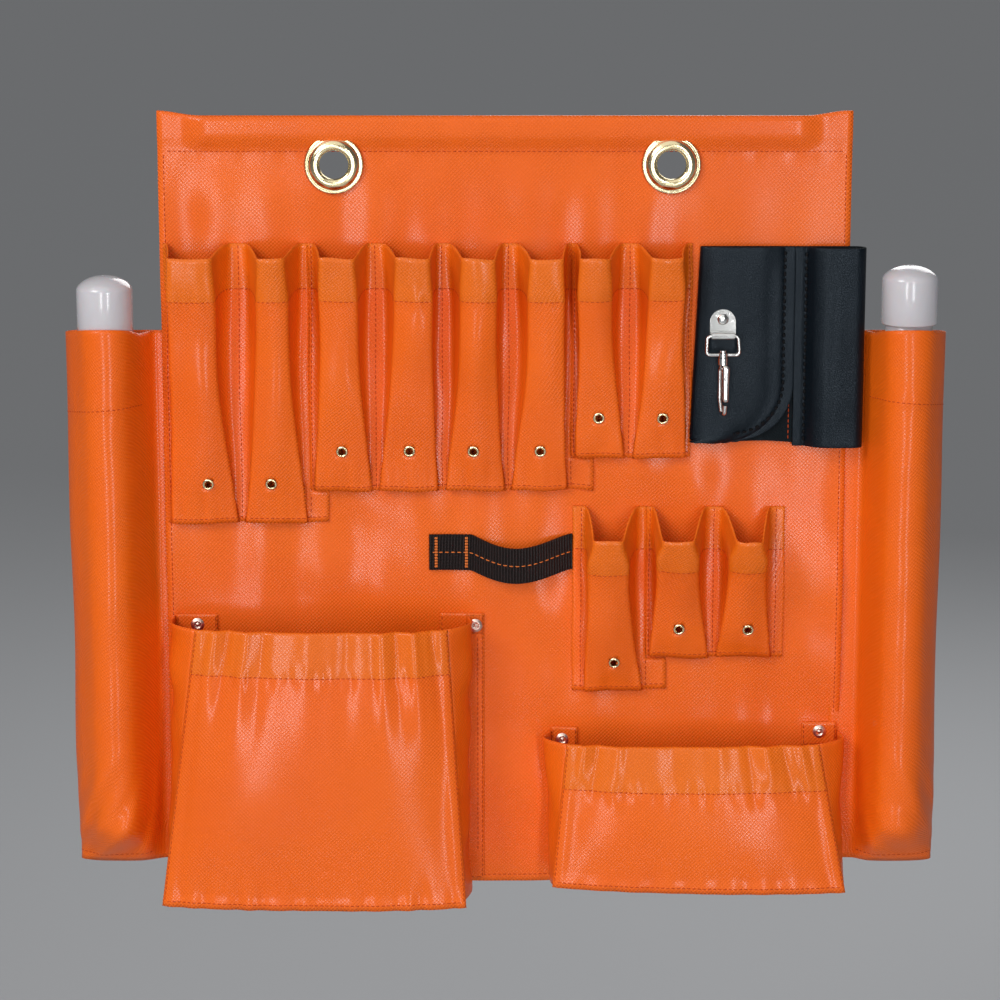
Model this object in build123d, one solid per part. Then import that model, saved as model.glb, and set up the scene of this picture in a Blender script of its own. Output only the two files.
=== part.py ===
from build123d import *
import math
import os

os.makedirs("parts", exist_ok=True)

# Hanging tool apron, in millimetres. X to the wearer's right of the front view, +Z up, and the front
# looks along -Y. The origin is midway between the two hanging grommets, on the back of the panel.

# ---- cloth and leather ----
CLOTH = 1.2  # thickness of the coated fabric
LEATHER = 2.5
PANEL_FACE = -CLOTH  # front face of the panel
LAYER_FACE = -2 * CLOTH  # front face of one layer sewn on the panel

# ---- main panel ----
PANEL_LEFT = -236.0
PANEL_RIGHT = 239.0
PANEL_TOP = 33.0
PANEL_BOTTOM = -514.0
HEM_STITCH_Z = 9.0
BATTEN_HALF_LENGTH = 207.0
BATTEN_HEIGHT = 9.6
BATTEN_THICK = 4.0
BATTEN_GAP = 0.3

# ---- hanging grommets ----
GROMMET_X = 115.4
GROMMET_HOLE_R = 10.0
GROMMET_BARREL_R = 10.8
GROMMET_FLANGE_R = 20.4
GROMMET_CROWN = 3.4
WASHER_R = 18.0

# ---- tool pockets: seams from left to right, and the left and right edge of each mouth ----
TOP_ROW_Z = -54.0
TOP_STAND_OFF = 30.0
TOP_STRIPS = {
    "top_strip_left": {
        "bottom": -250.0,
        "seams": [-233.5, -182.0, -134.0],
        "mouths": [(-230.0, -197.0), (-168.0, -147.5)],
        "eyelets": [-205.0, -161.0],
        "tail": -121.5,
    },
    "top_strip_middle": {
        "bottom": -227.0,
        "seams": [-134.0, -88.0, -42.0, 4.0, 47.7],
        "mouths": [(-126.0, -100.0), (-74.0, -48.5), (-29.0, -4.0), (17.6, 42.4)],
        "eyelets": [-111.0, -64.5, -19.0, 26.0],
        "tail": 63.5,
    },
    "top_strip_right": {
        "bottom": -203.0,
        "seams": [47.7, 87.5, 130.5],
        "mouths": [(51.0, 74.0), (100.0, 124.0)],
        "eyelets": [66.0, 111.0],
        "tail": None,
    },
}
LOWER_ROW_Z = -239.0
LOWER_STAND_OFF = 36.0
LOWER_STRIPS = {
    "lower_strip_left": {
        "bottom": -371.0,
        "seams": [55.0, 101.0],
        "mouths": [(58.5, 87.0)],
        "eyelets": [78.0],
        "tail": 115.5,
    },
    "lower_strip_right": {
        "bottom": -347.0,
        "seams": [101.0, 148.0, 191.5],
        "mouths": [(106.5, 136.0), (157.5, 183.5)],
        "eyelets": [123.5, 172.5],
        "tail": None,
    },
}
LOWER_FLANGE = 6.0  # hem outside the first and last seam of the lower row
MOUTH_DROP = 3.0  # a pocket's mouth lies this far below the top of its strip
TAIL_GAP = 0.6
POCKET_FLOOR_DEPTH = 4.0  # how far a pocket's front stands off at its bottom seam
POCKET_FLOOR_RISE = 5.0  # the inside starts this far above the strip's bottom edge
EYELET_RISE = 29.0  # eyelet centre above the strip's bottom edge
EYELET_RISE_LOWER = 22.0
EYELET_HOLE_R = 2.2
EYELET_BARREL_R = 2.8
EYELET_FLANGE_R = 4.5

# a strip's free tail passes just under the bottom edge of the strip on its right
TOP_STRIPS["top_strip_left"]["tail_top"] = TOP_STRIPS["top_strip_middle"]["bottom"] - TAIL_GAP
TOP_STRIPS["top_strip_middle"]["tail_top"] = TOP_STRIPS["top_strip_right"]["bottom"] - TAIL_GAP
LOWER_STRIPS["lower_strip_left"]["tail_top"] = LOWER_STRIPS["lower_strip_right"]["bottom"] - TAIL_GAP

# ---- wide pouches: p is the edge on the panel, f the edge of the front ----
BIG_POUCH = {
    "top": -320.0,
    "bottom": -514.0,
    "panel_x": (-231.0, -24.5),
    "top_front_x": (-212.0, -39.5),
    "bottom_front_x": (-237.0, -27.0),
    "top_depth": 45.0,
    "bottom_depth": 58.0,
    "rivets": [(-215.0, -324.2), (-19.0, -324.2)],
    "tabs": [(-230.0, -201.0, -332.0, -316.5), (-44.0, -13.2, -331.0, -315.5)],
    "flange": (-24.5, -13.2, -511.5, -316.0),
}
SMALL_POUCH = {
    "top": -404.0,
    "bottom": -506.0,
    "panel_x": (34.0, 238.0),
    "top_front_x": (46.0, 220.5),
    "bottom_front_x": (36.5, 239.5),
    "top_depth": 40.0,
    "bottom_depth": 49.0,
    "rivets": [(42.5, -408.5), (225.0, -403.0)],
    "tabs": [(34.5, 53.0, -418.0, -399.0), (212.5, 237.0, -413.0, -396.0)],
    "flange": None,
}
HEM_TURN = 26.0
ELASTIC_HEIGHT = 14.0
RIVET_HEAD_R = 5.0
RIVET_SHANK_R = 1.5
RIVET_WASHER_R = 4.5

# ---- webbing loop ----
WEB_WIDTH = 25.4
WEB_TOP = -258.5
WEB_THICK = 1.6
WEB_LEFT = -51.5
WEB_FLAT_END = -22.0
WEB_CREST_X = 14.0
WEB_CREST_DEPTH = 16.0
WEB_RIGHT = 48.8

# ---- side pockets and their capped tubes ----
SIDE_TOP = -115.0
SIDE_BOTTOM = -497.0
SIDE_TAPER_Z = -460.0
TUBE_Y = -20.0
TUBE_R = 16.0
TUBE_WALL = 2.0
CAP_R = 19.2
CAP_HEIGHT = 40.0
CAP_DOME = 9.0
CAP_WALL = 2.6
CAP_GAP = 0.3
PLUG_HEIGHT = 12.0
TUBES = {
    "left": {"side": -1, "x": 272.5, "outer": 303.0, "rise": 243.0, "cap_top": -74.0, "foot": -457.0},
    "right": {"side": 1, "x": 278.5, "outer": 307.0, "rise": 251.5, "cap_top": -67.0, "foot": -450.0},
}
SIDE_FLANGE_X = 231.0

# ---- leather knife holder ----
SHEATH_LEFT = 131.5
SHEATH_RIGHT = 201.0
LEATHER_TOP = -56.0
LEATHER_BOTTOM = -195.0
SHEATH_GAP = 5.0
SHEATH_SEAM_X = 193.5
FLAP_CORNER_R = 42.0
LOOP_LEFT = 203.0
LOOP_RIGHT = 249.5
LOOP_SEAM_X = 211.5
LOOP_DEPTH = 15.0

# ---- swivel snap on the sheath ----
SNAP_X = 151.5
PLATE_RIVET_Z = -105.4
PLATE_HALF_WIDTH = 8.9
PLATE_THICK = 1.0
LUG_Y = -15.8
LUG_Z = -116.6
LUG_R = 2.5
RING_WIRE_R = 1.2
RING_HALF_TOP = 10.6
RING_HALF_BOTTOM = 11.4
RING_BOTTOM_Z = -129.2
SWIVEL_Y = -18.8
STUD_R = 1.3
STUD_HEAD_R = 2.4
HOOK_TURN = 20.0  # degrees that the hook's plane is turned about its swivel
HOOK_WIRE_R = 1.5
GATE_PIN_Z = -138.0
GATE_PIN_U = 2.6
GATE_TIP_Z = -162.0
GATE_TIP_U = 4.2
PIN_R = 0.7

EPS = 0.01
written = {}


def write(node, shape):
    """Writes one node's solids to parts/NODE.step."""
    if isinstance(shape, (list, tuple)):
        shape = Compound(children=list(shape))
    written[node] = shape
    export_step(shape, f"parts/{node}.step")


def block(x0, x1, y0, y1, z0, z1):
    """A box between two corners."""
    return Pos((x0 + x1) / 2, (y0 + y1) / 2, (z0 + z1) / 2) * Box(x1 - x0, y1 - y0, z1 - z0)


def outline(points, z):
    """A flat face at height z through (x, y) points."""
    return make_face(Polyline(*[(x, y, z) for x, y in points], close=True))


def prism(points, z0, z1):
    """The (x, y) outline pushed from z0 up to z1."""
    return extrude(outline(points, z0), amount=z1 - z0, dir=(0, 0, 1))


def taper(low_points, z0, high_points, z1):
    """A straight-sided solid between two outlines with the same number of corners."""
    return loft([outline(low_points, z0), outline(high_points, z1)], ruled=True)


def round_y(radius, y0, y1, x, z):
    """A round bar along Y."""
    return Pos(x, (y0 + y1) / 2, z) * Rot(90, 0, 0) * Cylinder(radius, abs(y1 - y0))


def spun_y(profile, x, z):
    """A (radius, y) profile turned about a Y axis through x, z."""
    face = make_face(Polyline(*[(r, y, 0) for r, y in profile], close=True))
    return Pos(x, 0, z) * revolve(face, axis=Axis.Y)


def between(a, b, share):
    return a + (b - a) * share


# ---- main panel with its rolled top hem ----
def main_panel():
    panel = block(PANEL_LEFT, PANEL_RIGHT, PANEL_FACE, 0, PANEL_BOTTOM, PANEL_TOP)
    room_z0 = PANEL_TOP - CLOTH - BATTEN_HEIGHT - BATTEN_GAP
    room_y0 = PANEL_FACE - BATTEN_THICK - 2 * BATTEN_GAP
    hem_points = [
        (PANEL_FACE, PANEL_TOP),
        (room_y0 - CLOTH, PANEL_TOP),
        (room_y0 - CLOTH, room_z0),
        (LAYER_FACE, room_z0 - 3.0),
        (LAYER_FACE, HEM_STITCH_Z - 3.0),
        (PANEL_FACE, HEM_STITCH_Z - 3.0),
    ]
    hem_wire = Polyline(*[(PANEL_LEFT, y, z) for y, z in hem_points], close=True)
    panel += extrude(make_face(hem_wire), amount=PANEL_RIGHT - PANEL_LEFT, dir=(1, 0, 0))
    panel -= block(
        PANEL_LEFT + 10, PANEL_RIGHT - 10, room_y0, PANEL_FACE, room_z0, PANEL_TOP - CLOTH
    )
    for side in (-1, 1):
        panel -= round_y(GROMMET_BARREL_R + 0.1, -20, 5, side * GROMMET_X, 0)
        panel -= round_y(GROMMET_FLANGE_R + 0.4, -20, LAYER_FACE, side * GROMMET_X, 0)
    for pouch in (BIG_POUCH, SMALL_POUCH):
        for x, z in pouch["rivets"]:
            panel -= round_y(RIVET_SHANK_R + 0.1, -5, 5, x, z)
    return panel


def hem_batten():
    z1 = PANEL_TOP - CLOTH - BATTEN_GAP
    y0 = PANEL_FACE - BATTEN_THICK - BATTEN_GAP
    bar = block(
        -BATTEN_HALF_LENGTH, BATTEN_HALF_LENGTH, y0, y0 + BATTEN_THICK, z1 - BATTEN_HEIGHT + BATTEN_GAP, z1
    )
    return fillet(bar.edges().filter_by(Axis.X), 1.2)


# ---- hanging grommets ----
def grommet(x):
    """Barrel, raised round crown and thin lip, with the barrel's end rolled over its washer."""
    face = LAYER_FACE
    profile = [
        (GROMMET_HOLE_R, 1.8),
        (GROMMET_HOLE_R, face - GROMMET_CROWN + 1.2),
        (11.2, face - GROMMET_CROWN + 0.3),
        (13.2, face - GROMMET_CROWN),
        (15.4, face - GROMMET_CROWN + 0.5),
        (17.0, face - 1.5),
        (17.7, face - 0.7),
        (18.8, face - 1.0),
        (GROMMET_FLANGE_R, face - 0.7),
        (GROMMET_FLANGE_R, face),
        (GROMMET_BARREL_R, face),
        (GROMMET_BARREL_R, 1.1),
        (14.4, 1.1),
        (14.2, 1.8),
        (12.4, 2.4),
    ]
    return spun_y(profile, x, 0)


def grommet_washer(x):
    profile = [(GROMMET_BARREL_R + 0.1, 0.0), (WASHER_R, 0.0), (WASHER_R, 0.8), (15.0, 1.1)]
    profile.append((GROMMET_BARREL_R + 0.1, 1.1))
    return spun_y(profile, x, 0)


# ---- tool pocket strips ----
def pocket_outline(seam_left, seam_right, mouth, stand_off, wall, share):
    """The outline of one tapering pocket at a share of its height, drawn in by wall."""
    back = PANEL_FACE + (EPS if wall else 0)
    foot = wall * 1.3
    low = [
        (seam_left + 2 + foot, back),
        (seam_left + 4 + foot, PANEL_FACE - POCKET_FLOOR_DEPTH + wall),
        (seam_right - 4 - foot, PANEL_FACE - POCKET_FLOOR_DEPTH + wall),
        (seam_right - 2 - foot, back),
    ]
    high = [
        (seam_left + 2 + foot, back),
        (mouth[0] + wall, PANEL_FACE - stand_off + wall),
        (mouth[1] - wall, PANEL_FACE - stand_off + wall),
        (seam_right - 2 - foot, back),
    ]
    return [(between(a[0], b[0], share), between(a[1], b[1], share)) for a, b in zip(low, high)]


def pocket_front_y(strip, top, stand_off, z):
    """Where a pocket's flat front is at height z."""
    share = (z - strip["bottom"]) / (top - MOUTH_DROP - strip["bottom"])
    return PANEL_FACE - between(POCKET_FLOOR_DEPTH, stand_off, share)


def pocket_strip(strip, top, stand_off, eyelet_rise, left_flange, right_flange):
    """One strip of cloth sewn down at its seams, with a pocket standing out between each two."""
    seams = strip["seams"]
    mouth_z = top - MOUTH_DROP
    body = block(
        seams[0] - left_flange, seams[-1] + right_flange, LAYER_FACE, PANEL_FACE, strip["bottom"], top
    )
    hollow = []
    for left, right, mouth in zip(seams, seams[1:], strip["mouths"]):
        shape = (left, right, mouth, stand_off)
        body += taper(pocket_outline(*shape, 0, 0), strip["bottom"], pocket_outline(*shape, 0, 1), mouth_z)
        floor_share = POCKET_FLOOR_RISE / (mouth_z - strip["bottom"])
        low = pocket_outline(*shape, CLOTH, floor_share)
        high = pocket_outline(*shape, CLOTH, 1)
        inside = taper(low, strip["bottom"] + POCKET_FLOOR_RISE, high, mouth_z + EPS)
        inside += prism(high, mouth_z, top + 1)
        hollow.append(inside)
    for inside in hollow:
        body -= inside
    if strip["tail"] is not None:
        tail_top = strip["tail_top"]
        body += block(seams[-1] - 1, strip["tail"], LAYER_FACE, PANEL_FACE, strip["bottom"], tail_top)
    tilt = front_tilt(strip, top, stand_off)
    for x in strip["eyelets"]:
        z = strip["bottom"] + eyelet_rise
        y = pocket_front_y(strip, top, stand_off, z)
        body -= Pos(x, y, z) * Rot(90 + tilt, 0, 0) * Cylinder(EYELET_BARREL_R + 0.1, 6)
    return body


def front_tilt(strip, top, stand_off):
    """Degrees that a pocket's front leans out from the panel."""
    height = top - MOUTH_DROP - strip["bottom"]
    return math.degrees(math.atan((stand_off - POCKET_FLOOR_DEPTH) / height))


def drain_eyelet(strip, top, stand_off, eyelet_rise, x):
    z = strip["bottom"] + eyelet_rise
    y = pocket_front_y(strip, top, stand_off, z)
    profile = [
        (EYELET_HOLE_R, CLOTH + 0.8),
        (EYELET_HOLE_R, -0.6),
        (3.0, -1.1),
        (4.0, -0.9),
        (EYELET_FLANGE_R, 0),
        (EYELET_BARREL_R, 0),
        (EYELET_BARREL_R, CLOTH + 0.1),
        (3.6, CLOTH + 0.1),
        (3.3, CLOTH + 0.7),
    ]
    face = make_face(Polyline(*[(r, depth, 0) for r, depth in profile], close=True))
    ring = revolve(face, axis=Axis.Y)
    return Pos(x, y, z) * Rot(front_tilt(strip, top, stand_off), 0, 0) * ring


# ---- wide pouches ----
def pouch_at(pouch, z):
    """(left, right, depth) of a pouch's front at height z."""
    share = (z - pouch["bottom"]) / (pouch["top"] - pouch["bottom"])
    left = between(pouch["bottom_front_x"][0], pouch["top_front_x"][0], share)
    right = between(pouch["bottom_front_x"][1], pouch["top_front_x"][1], share)
    return left, right, between(pouch["bottom_depth"], pouch["top_depth"], share)


def pouch_slab(pouch, z0, z1, near, far, inset):
    """A layer parallel to the pouch's front, from near to far behind it."""
    rows = []
    for z in (z0, z1):
        left, right, depth = pouch_at(pouch, z)
        rows.append(
            [
                (left + inset, -depth + near),
                (right - inset, -depth + near),
                (right - inset, -depth + far),
                (left + inset, -depth + far),
            ]
        )
    return taper(rows[0], z0, rows[1], z1)


def pouch_front(pouch):
    top = pouch["top"]
    front = pouch_slab(pouch, pouch["bottom"], top, 0, CLOTH, 0)
    front += pouch_slab(pouch, top - HEM_TURN, top, 2.2 * CLOTH, 3 * CLOTH, 4)
    front += pouch_slab(pouch, top - CLOTH, top, CLOTH, 2.2 * CLOTH + EPS, 4)
    return front


def pouch_elastic(pouch):
    z1 = pouch["top"] - CLOTH - 0.3
    return pouch_slab(pouch, z1 - ELASTIC_HEIGHT, z1, CLOTH + 0.2, 2.2 * CLOTH - 0.2, 5)


def pouch_gusset(pouch):
    """Sides and bottom between the panel and the front, the corner tabs and the sewn flange."""
    top, bottom = pouch["top"], pouch["bottom"]
    panel_left, panel_right = pouch["panel_x"]

    def ring(z, wall, over):
        left, right, depth = pouch_at(pouch, z)
        return [
            (panel_left + wall, PANEL_FACE + over),
            (left + wall, -depth + CLOTH - over),
            (right - wall, -depth + CLOTH - over),
            (panel_right - wall, PANEL_FACE + over),
        ]

    gusset = taper(ring(bottom, 0, 0), bottom, ring(top, 0, 0), top)
    floor = bottom + CLOTH
    gusset -= taper(ring(floor, CLOTH, 1), floor, ring(top + 1, CLOTH, 1), top + 1)
    for x0, x1, z0, z1 in pouch["tabs"]:
        gusset += block(x0, x1, LAYER_FACE, PANEL_FACE, z0, z1)
    if pouch["flange"]:
        x0, x1, z0, z1 = pouch["flange"]
        gusset += block(x0 - CLOTH, x1, LAYER_FACE, PANEL_FACE, z0, z1)
    for x, z in pouch["rivets"]:
        gusset -= round_y(RIVET_SHANK_R + 0.1, -6, 5, x, z)
    return gusset


def pouch_rivet(x, z):
    profile = [
        (0, LAYER_FACE - 1.3),
        (2.0, LAYER_FACE - 1.5),
        (3.2, LAYER_FACE - 1.1),
        (4.4, LAYER_FACE - 0.9),
        (RIVET_HEAD_R, LAYER_FACE),
        (RIVET_SHANK_R, LAYER_FACE),
        (RIVET_SHANK_R, 0.8),
        (2.4, 0.8),
        (2.0, 1.5),
        (0, 1.7),
    ]
    return spun_y(profile, x, z)


def rivet_washer(x, z):
    inner = RIVET_SHANK_R + 0.1
    return spun_y([(inner, 0), (RIVET_WASHER_R, 0), (RIVET_WASHER_R, 0.5), (inner, 0.8)], x, z)


# ---- webbing loop ----
def web_loop():
    """A flat end sewn to the panel, then a shallow arch to the edge of the lower strip."""
    near, far = PANEL_FACE, PANEL_FACE - WEB_THICK
    crest = PANEL_FACE - WEB_CREST_DEPTH
    outer = ThreePointArc((WEB_FLAT_END, far), (WEB_CREST_X, crest), (WEB_RIGHT, far))
    inner = ThreePointArc(
        (WEB_RIGHT - 2, near), (WEB_CREST_X, crest + WEB_THICK), (WEB_FLAT_END + 2, near)
    )
    edges = [
        outer,
        Line((WEB_RIGHT, far), (WEB_RIGHT, near)),
        Line((WEB_RIGHT, near), (WEB_RIGHT - 2, near)),
        inner,
        Line((WEB_FLAT_END + 2, near), (WEB_LEFT, near)),
        Line((WEB_LEFT, near), (WEB_LEFT, far)),
        Line((WEB_LEFT, far), (WEB_FLAT_END, far)),
    ]
    face = Pos(0, 0, WEB_TOP - WEB_WIDTH) * make_face(edges)
    return extrude(face, amount=WEB_WIDTH, dir=(0, 0, 1))


# ---- side pockets and capped tubes ----
def side_outline(tube, wall, depth_share):
    """Half-round pocket about its tube, flat against the back of the panel's edge."""
    side, x = tube["side"], tube["x"]
    reach = (abs(TUBE_Y) + TUBE_R + 1.0 + CLOTH - wall) * depth_share
    outer = tube["outer"] - wall
    back = 2 * CLOTH - wall
    points = [
        (tube["rise"] + wall * 1.5, back),
        (outer - 2, back),
        (outer, -0.16 * reach),
        (x + 17.0 - 0.4 * wall, -0.72 * reach),
        (x + 9.5, -reach),
        (x - 9.5, -reach),
        (x - 17.0 + 0.4 * wall, -0.72 * reach),
        (tube["rise"] + wall * 1.5, CLOTH * 0.2 - wall * 0.2),
    ]
    return [(side * px, py) for px, py in points]


def side_pocket(tube):
    """A tall pocket that is open at the top and flattens to a sewn bottom edge."""
    side = tube["side"]
    flat = 0.12
    outside = prism(side_outline(tube, 0, 1), SIDE_TAPER_Z, SIDE_TOP)
    outside += taper(
        side_outline(tube, 0, flat), SIDE_BOTTOM, side_outline(tube, 0, 1), SIDE_TAPER_Z
    )
    inside = prism(side_outline(tube, CLOTH, 1), SIDE_TAPER_Z, SIDE_TOP + 1)
    inside += taper(
        side_outline(tube, CLOTH, flat * 1.6), SIDE_BOTTOM + 6, side_outline(tube, CLOTH, 1), SIDE_TAPER_Z
    )
    x0, x1 = sorted((side * SIDE_FLANGE_X, side * (tube["rise"] + 1)))
    flange = block(x0, x1, 0, 2 * CLOTH, SIDE_BOTTOM, SIDE_TOP)
    return outside - inside + flange


def tube_pipe(tube):
    x = tube["side"] * tube["x"]
    top = tube["cap_top"] - CAP_DOME - 3
    height = top - tube["foot"]
    pipe = Pos(x, TUBE_Y, tube["foot"] + height / 2) * Cylinder(TUBE_R, height)
    return pipe - Pos(x, TUBE_Y, tube["foot"] + height / 2) * Cylinder(TUBE_R - TUBE_WALL, height + 1)


def tube_plug(tube):
    x = tube["side"] * tube["x"]
    return Pos(x, TUBE_Y, tube["foot"] + PLUG_HEIGHT / 2) * Cylinder(TUBE_R - TUBE_WALL, PLUG_HEIGHT)


def tube_cap(tube):
    """A domed slip-over cap."""
    x = tube["side"] * tube["x"]
    bore = TUBE_R + CAP_GAP
    shoulder = CAP_HEIGHT - CAP_DOME
    dome_r = (CAP_R**2 + CAP_DOME**2) / (2 * CAP_DOME)
    half_turn = math.asin(CAP_R / dome_r) / 2
    dome_middle = (dome_r * math.sin(half_turn), CAP_HEIGHT - dome_r * (1 - math.cos(half_turn)))
    outer_wire = [
        Line((bore, 0), (CAP_R, 0)),
        Line((CAP_R, 0), (CAP_R, shoulder)),
        ThreePointArc((CAP_R, shoulder), dome_middle, (0, CAP_HEIGHT)),
        Line((0, CAP_HEIGHT), (0, CAP_HEIGHT - CAP_WALL)),
        Line((0, CAP_HEIGHT - CAP_WALL), (bore - 3, shoulder)),
        Line((bore - 3, shoulder), (bore, shoulder)),
        Line((bore, shoulder), (bore, 0)),
    ]
    profile = Plane.XZ * make_face(outer_wire)
    cap = revolve(profile, axis=Axis.Z)
    return Pos(x, TUBE_Y, tube["cap_top"] - CAP_HEIGHT) * cap


# ---- leather ----
SHEATH_REAR = PANEL_FACE - LEATHER
SHEATH_FRONT = SHEATH_REAR - SHEATH_GAP - LEATHER


def knife_sheath():
    """One piece folded at its left edge: the rear layer shows where the front one is cut round."""
    fold_r = (PANEL_FACE - SHEATH_FRONT) / 2
    fold_x = SHEATH_LEFT + fold_r
    fold_y = PANEL_FACE - fold_r
    height = LEATHER_TOP - LEATHER_BOTTOM
    rear = block(fold_x, SHEATH_RIGHT, SHEATH_REAR, PANEL_FACE, LEATHER_BOTTOM, LEATHER_TOP)
    front_points = [
        (fold_x, SHEATH_FRONT),
        (SHEATH_SEAM_X - 9, SHEATH_FRONT),
        (SHEATH_SEAM_X, SHEATH_REAR - LEATHER),
        (SHEATH_RIGHT, SHEATH_REAR - LEATHER),
        (SHEATH_RIGHT, SHEATH_REAR),
        (SHEATH_SEAM_X - 1, SHEATH_REAR),
        (SHEATH_SEAM_X - 10, SHEATH_FRONT + LEATHER),
        (fold_x, SHEATH_FRONT + LEATHER),
    ]
    front = prism(front_points, LEATHER_BOTTOM + 2, LEATHER_TOP)
    front += block(
        fold_x, SHEATH_SEAM_X - 5, SHEATH_FRONT + LEATHER - EPS, SHEATH_REAR, LEATHER_BOTTOM + 2, LEATHER_BOTTOM + 5
    )
    corner_x = SHEATH_RIGHT - FLAP_CORNER_R
    corner_z = LEATHER_BOTTOM + 2 + FLAP_CORNER_R
    trim = block(corner_x, SHEATH_RIGHT + 5, -40, SHEATH_REAR, LEATHER_BOTTOM - 5, corner_z)
    trim -= round_y(FLAP_CORNER_R, -50, 10, corner_x, corner_z)
    rim = round_y(FLAP_CORNER_R, SHEATH_FRONT + LEATHER - EPS, SHEATH_REAR, corner_x, corner_z)
    rim -= round_y(FLAP_CORNER_R - 6, -50, 10, corner_x, corner_z)
    rim &= block(corner_x, SHEATH_SEAM_X - 4, -50, 10, LEATHER_BOTTOM, corner_z - 12)
    ring = Pos(fold_x, fold_y, LEATHER_BOTTOM + height / 2) * (
        Cylinder(fold_r, height) - Cylinder(fold_r - LEATHER, height)
    )
    ring &= block(SHEATH_LEFT - 1, fold_x, -40, 5, LEATHER_BOTTOM, LEATHER_TOP)
    sheath = rear + ((front + rim) - trim) + ring
    return sheath - round_y(1.5, -30, SHEATH_REAR, SNAP_X, PLATE_RIVET_Z)


def leather_tool_loop():
    """A leather tube sewn down at its left edge and folded at its right one."""
    fold_r = LOOP_DEPTH / 2
    fold_x = LOOP_RIGHT - fold_r
    mid_y = PANEL_FACE - fold_r
    height = LEATHER_TOP - LEATHER_BOTTOM
    rear = block(LOOP_LEFT, fold_x, SHEATH_REAR, PANEL_FACE, LEATHER_BOTTOM, LEATHER_TOP)
    deep = PANEL_FACE - LOOP_DEPTH
    points = [
        (fold_x, deep),
        (LOOP_SEAM_X + 9, deep + 1.5),
        (LOOP_SEAM_X, SHEATH_REAR - LEATHER),
        (LOOP_LEFT, SHEATH_REAR - LEATHER),
        (LOOP_LEFT, SHEATH_REAR),
        (LOOP_SEAM_X + 1, SHEATH_REAR),
        (LOOP_SEAM_X + 10, deep + 1.5 + LEATHER),
        (fold_x, deep + LEATHER),
    ]
    front = prism(points, LEATHER_BOTTOM, LEATHER_TOP)
    fold = Pos(fold_x, mid_y, LEATHER_BOTTOM + height / 2) * (
        Cylinder(fold_r, height) - Cylinder(fold_r - LEATHER, height)
    )
    fold &= block(fold_x, LOOP_RIGHT + 1, -40, 5, LEATHER_BOTTOM, LEATHER_TOP)
    return rear + front + fold


# ---- swivel snap ----
def hook_plate():
    """Rounded plate under the rivet head, rolled at its lower edge round the ring's bar."""
    y1 = SHEATH_FRONT
    y0 = y1 - PLATE_THICK
    arc_z = PLATE_RIVET_Z - 2
    plate = round_y(PLATE_HALF_WIDTH, y0, y1, SNAP_X, arc_z)
    plate &= block(SNAP_X - 20, SNAP_X + 20, y0, y1, arc_z, arc_z + 20)
    x0, x1 = SNAP_X - PLATE_HALF_WIDTH, SNAP_X + PLATE_HALF_WIDTH
    plate += block(x0, x1, y0, y1, LUG_Z + 1, arc_z)
    lug = Pos(SNAP_X, LUG_Y, LUG_Z) * Rot(0, 90, 0) * Cylinder(LUG_R, x1 - x0 - 2)
    web = block(x0 + 1, x1 - 1, LUG_Y, y1, LUG_Z + 0.9, LUG_Z + 2.3)
    plate += lug
    plate += web
    plate -= Pos(SNAP_X, LUG_Y, LUG_Z) * Rot(0, 90, 0) * Cylinder(RING_WIRE_R + 0.3, 40)
    return plate - round_y(1.5, -30, 0, SNAP_X, PLATE_RIVET_Z)


def hook_rivet():
    y = SHEATH_FRONT - PLATE_THICK
    back = SHEATH_FRONT + LEATHER
    profile = [
        (0, y - 2.4),
        (2.0, y - 2.1),
        (3.4, y - 1.2),
        (4.0, y),
        (1.4, y),
        (1.4, back + 0.6),
        (2.2, back + 0.6),
        (1.9, back + 1.2),
        (0, back + 1.3),
    ]
    return spun_y(profile, SNAP_X, PLATE_RIVET_Z)


def hook_rivet_washer():
    back = SHEATH_FRONT + LEATHER
    return spun_y([(1.5, back), (3.8, back), (3.8, back + 0.4), (1.5, back + 0.6)], SNAP_X, PLATE_RIVET_Z)


def rod(points, radius, corner):
    """A round wire along a route with rounded corners."""
    path = FilletPolyline(*points, radius=corner) if corner else Polyline(*points)
    start = Vector(*points[0])
    heading = Vector(*points[1]) - start
    return sweep(Plane(start, z_dir=heading) * Circle(radius), path=path)


def hook_ring():
    """A rounded wire frame, with a bored bar at its foot for the swivel."""
    top_l = (SNAP_X - RING_HALF_TOP, LUG_Y, LUG_Z)
    top_r = (SNAP_X + RING_HALF_TOP, LUG_Y, LUG_Z)
    low_l = (SNAP_X - RING_HALF_BOTTOM, SWIVEL_Y, RING_BOTTOM_Z)
    low_r = (SNAP_X + RING_HALF_BOTTOM, SWIVEL_Y, RING_BOTTOM_Z)
    start = (SNAP_X, LUG_Y, LUG_Z)
    middle = (SNAP_X, SWIVEL_Y, RING_BOTTOM_Z)
    ring = rod([start, top_r, low_r, middle], RING_WIRE_R, 2.6)
    ring += rod([start, top_l, low_l, middle], RING_WIRE_R, 2.6)
    ring += Pos(SNAP_X, SWIVEL_Y, RING_BOTTOM_Z) * Cylinder(3.4, 3.0)
    return ring - Pos(SNAP_X, SWIVEL_Y, RING_BOTTOM_Z) * Cylinder(STUD_R + 0.3, 6)


def in_hook(shape):
    """Moves a shape drawn in the hook's own axes, u forward as -Y, to its place."""
    return Pos(SNAP_X, SWIVEL_Y, 0) * Rot(0, 0, HOOK_TURN) * shape


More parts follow.
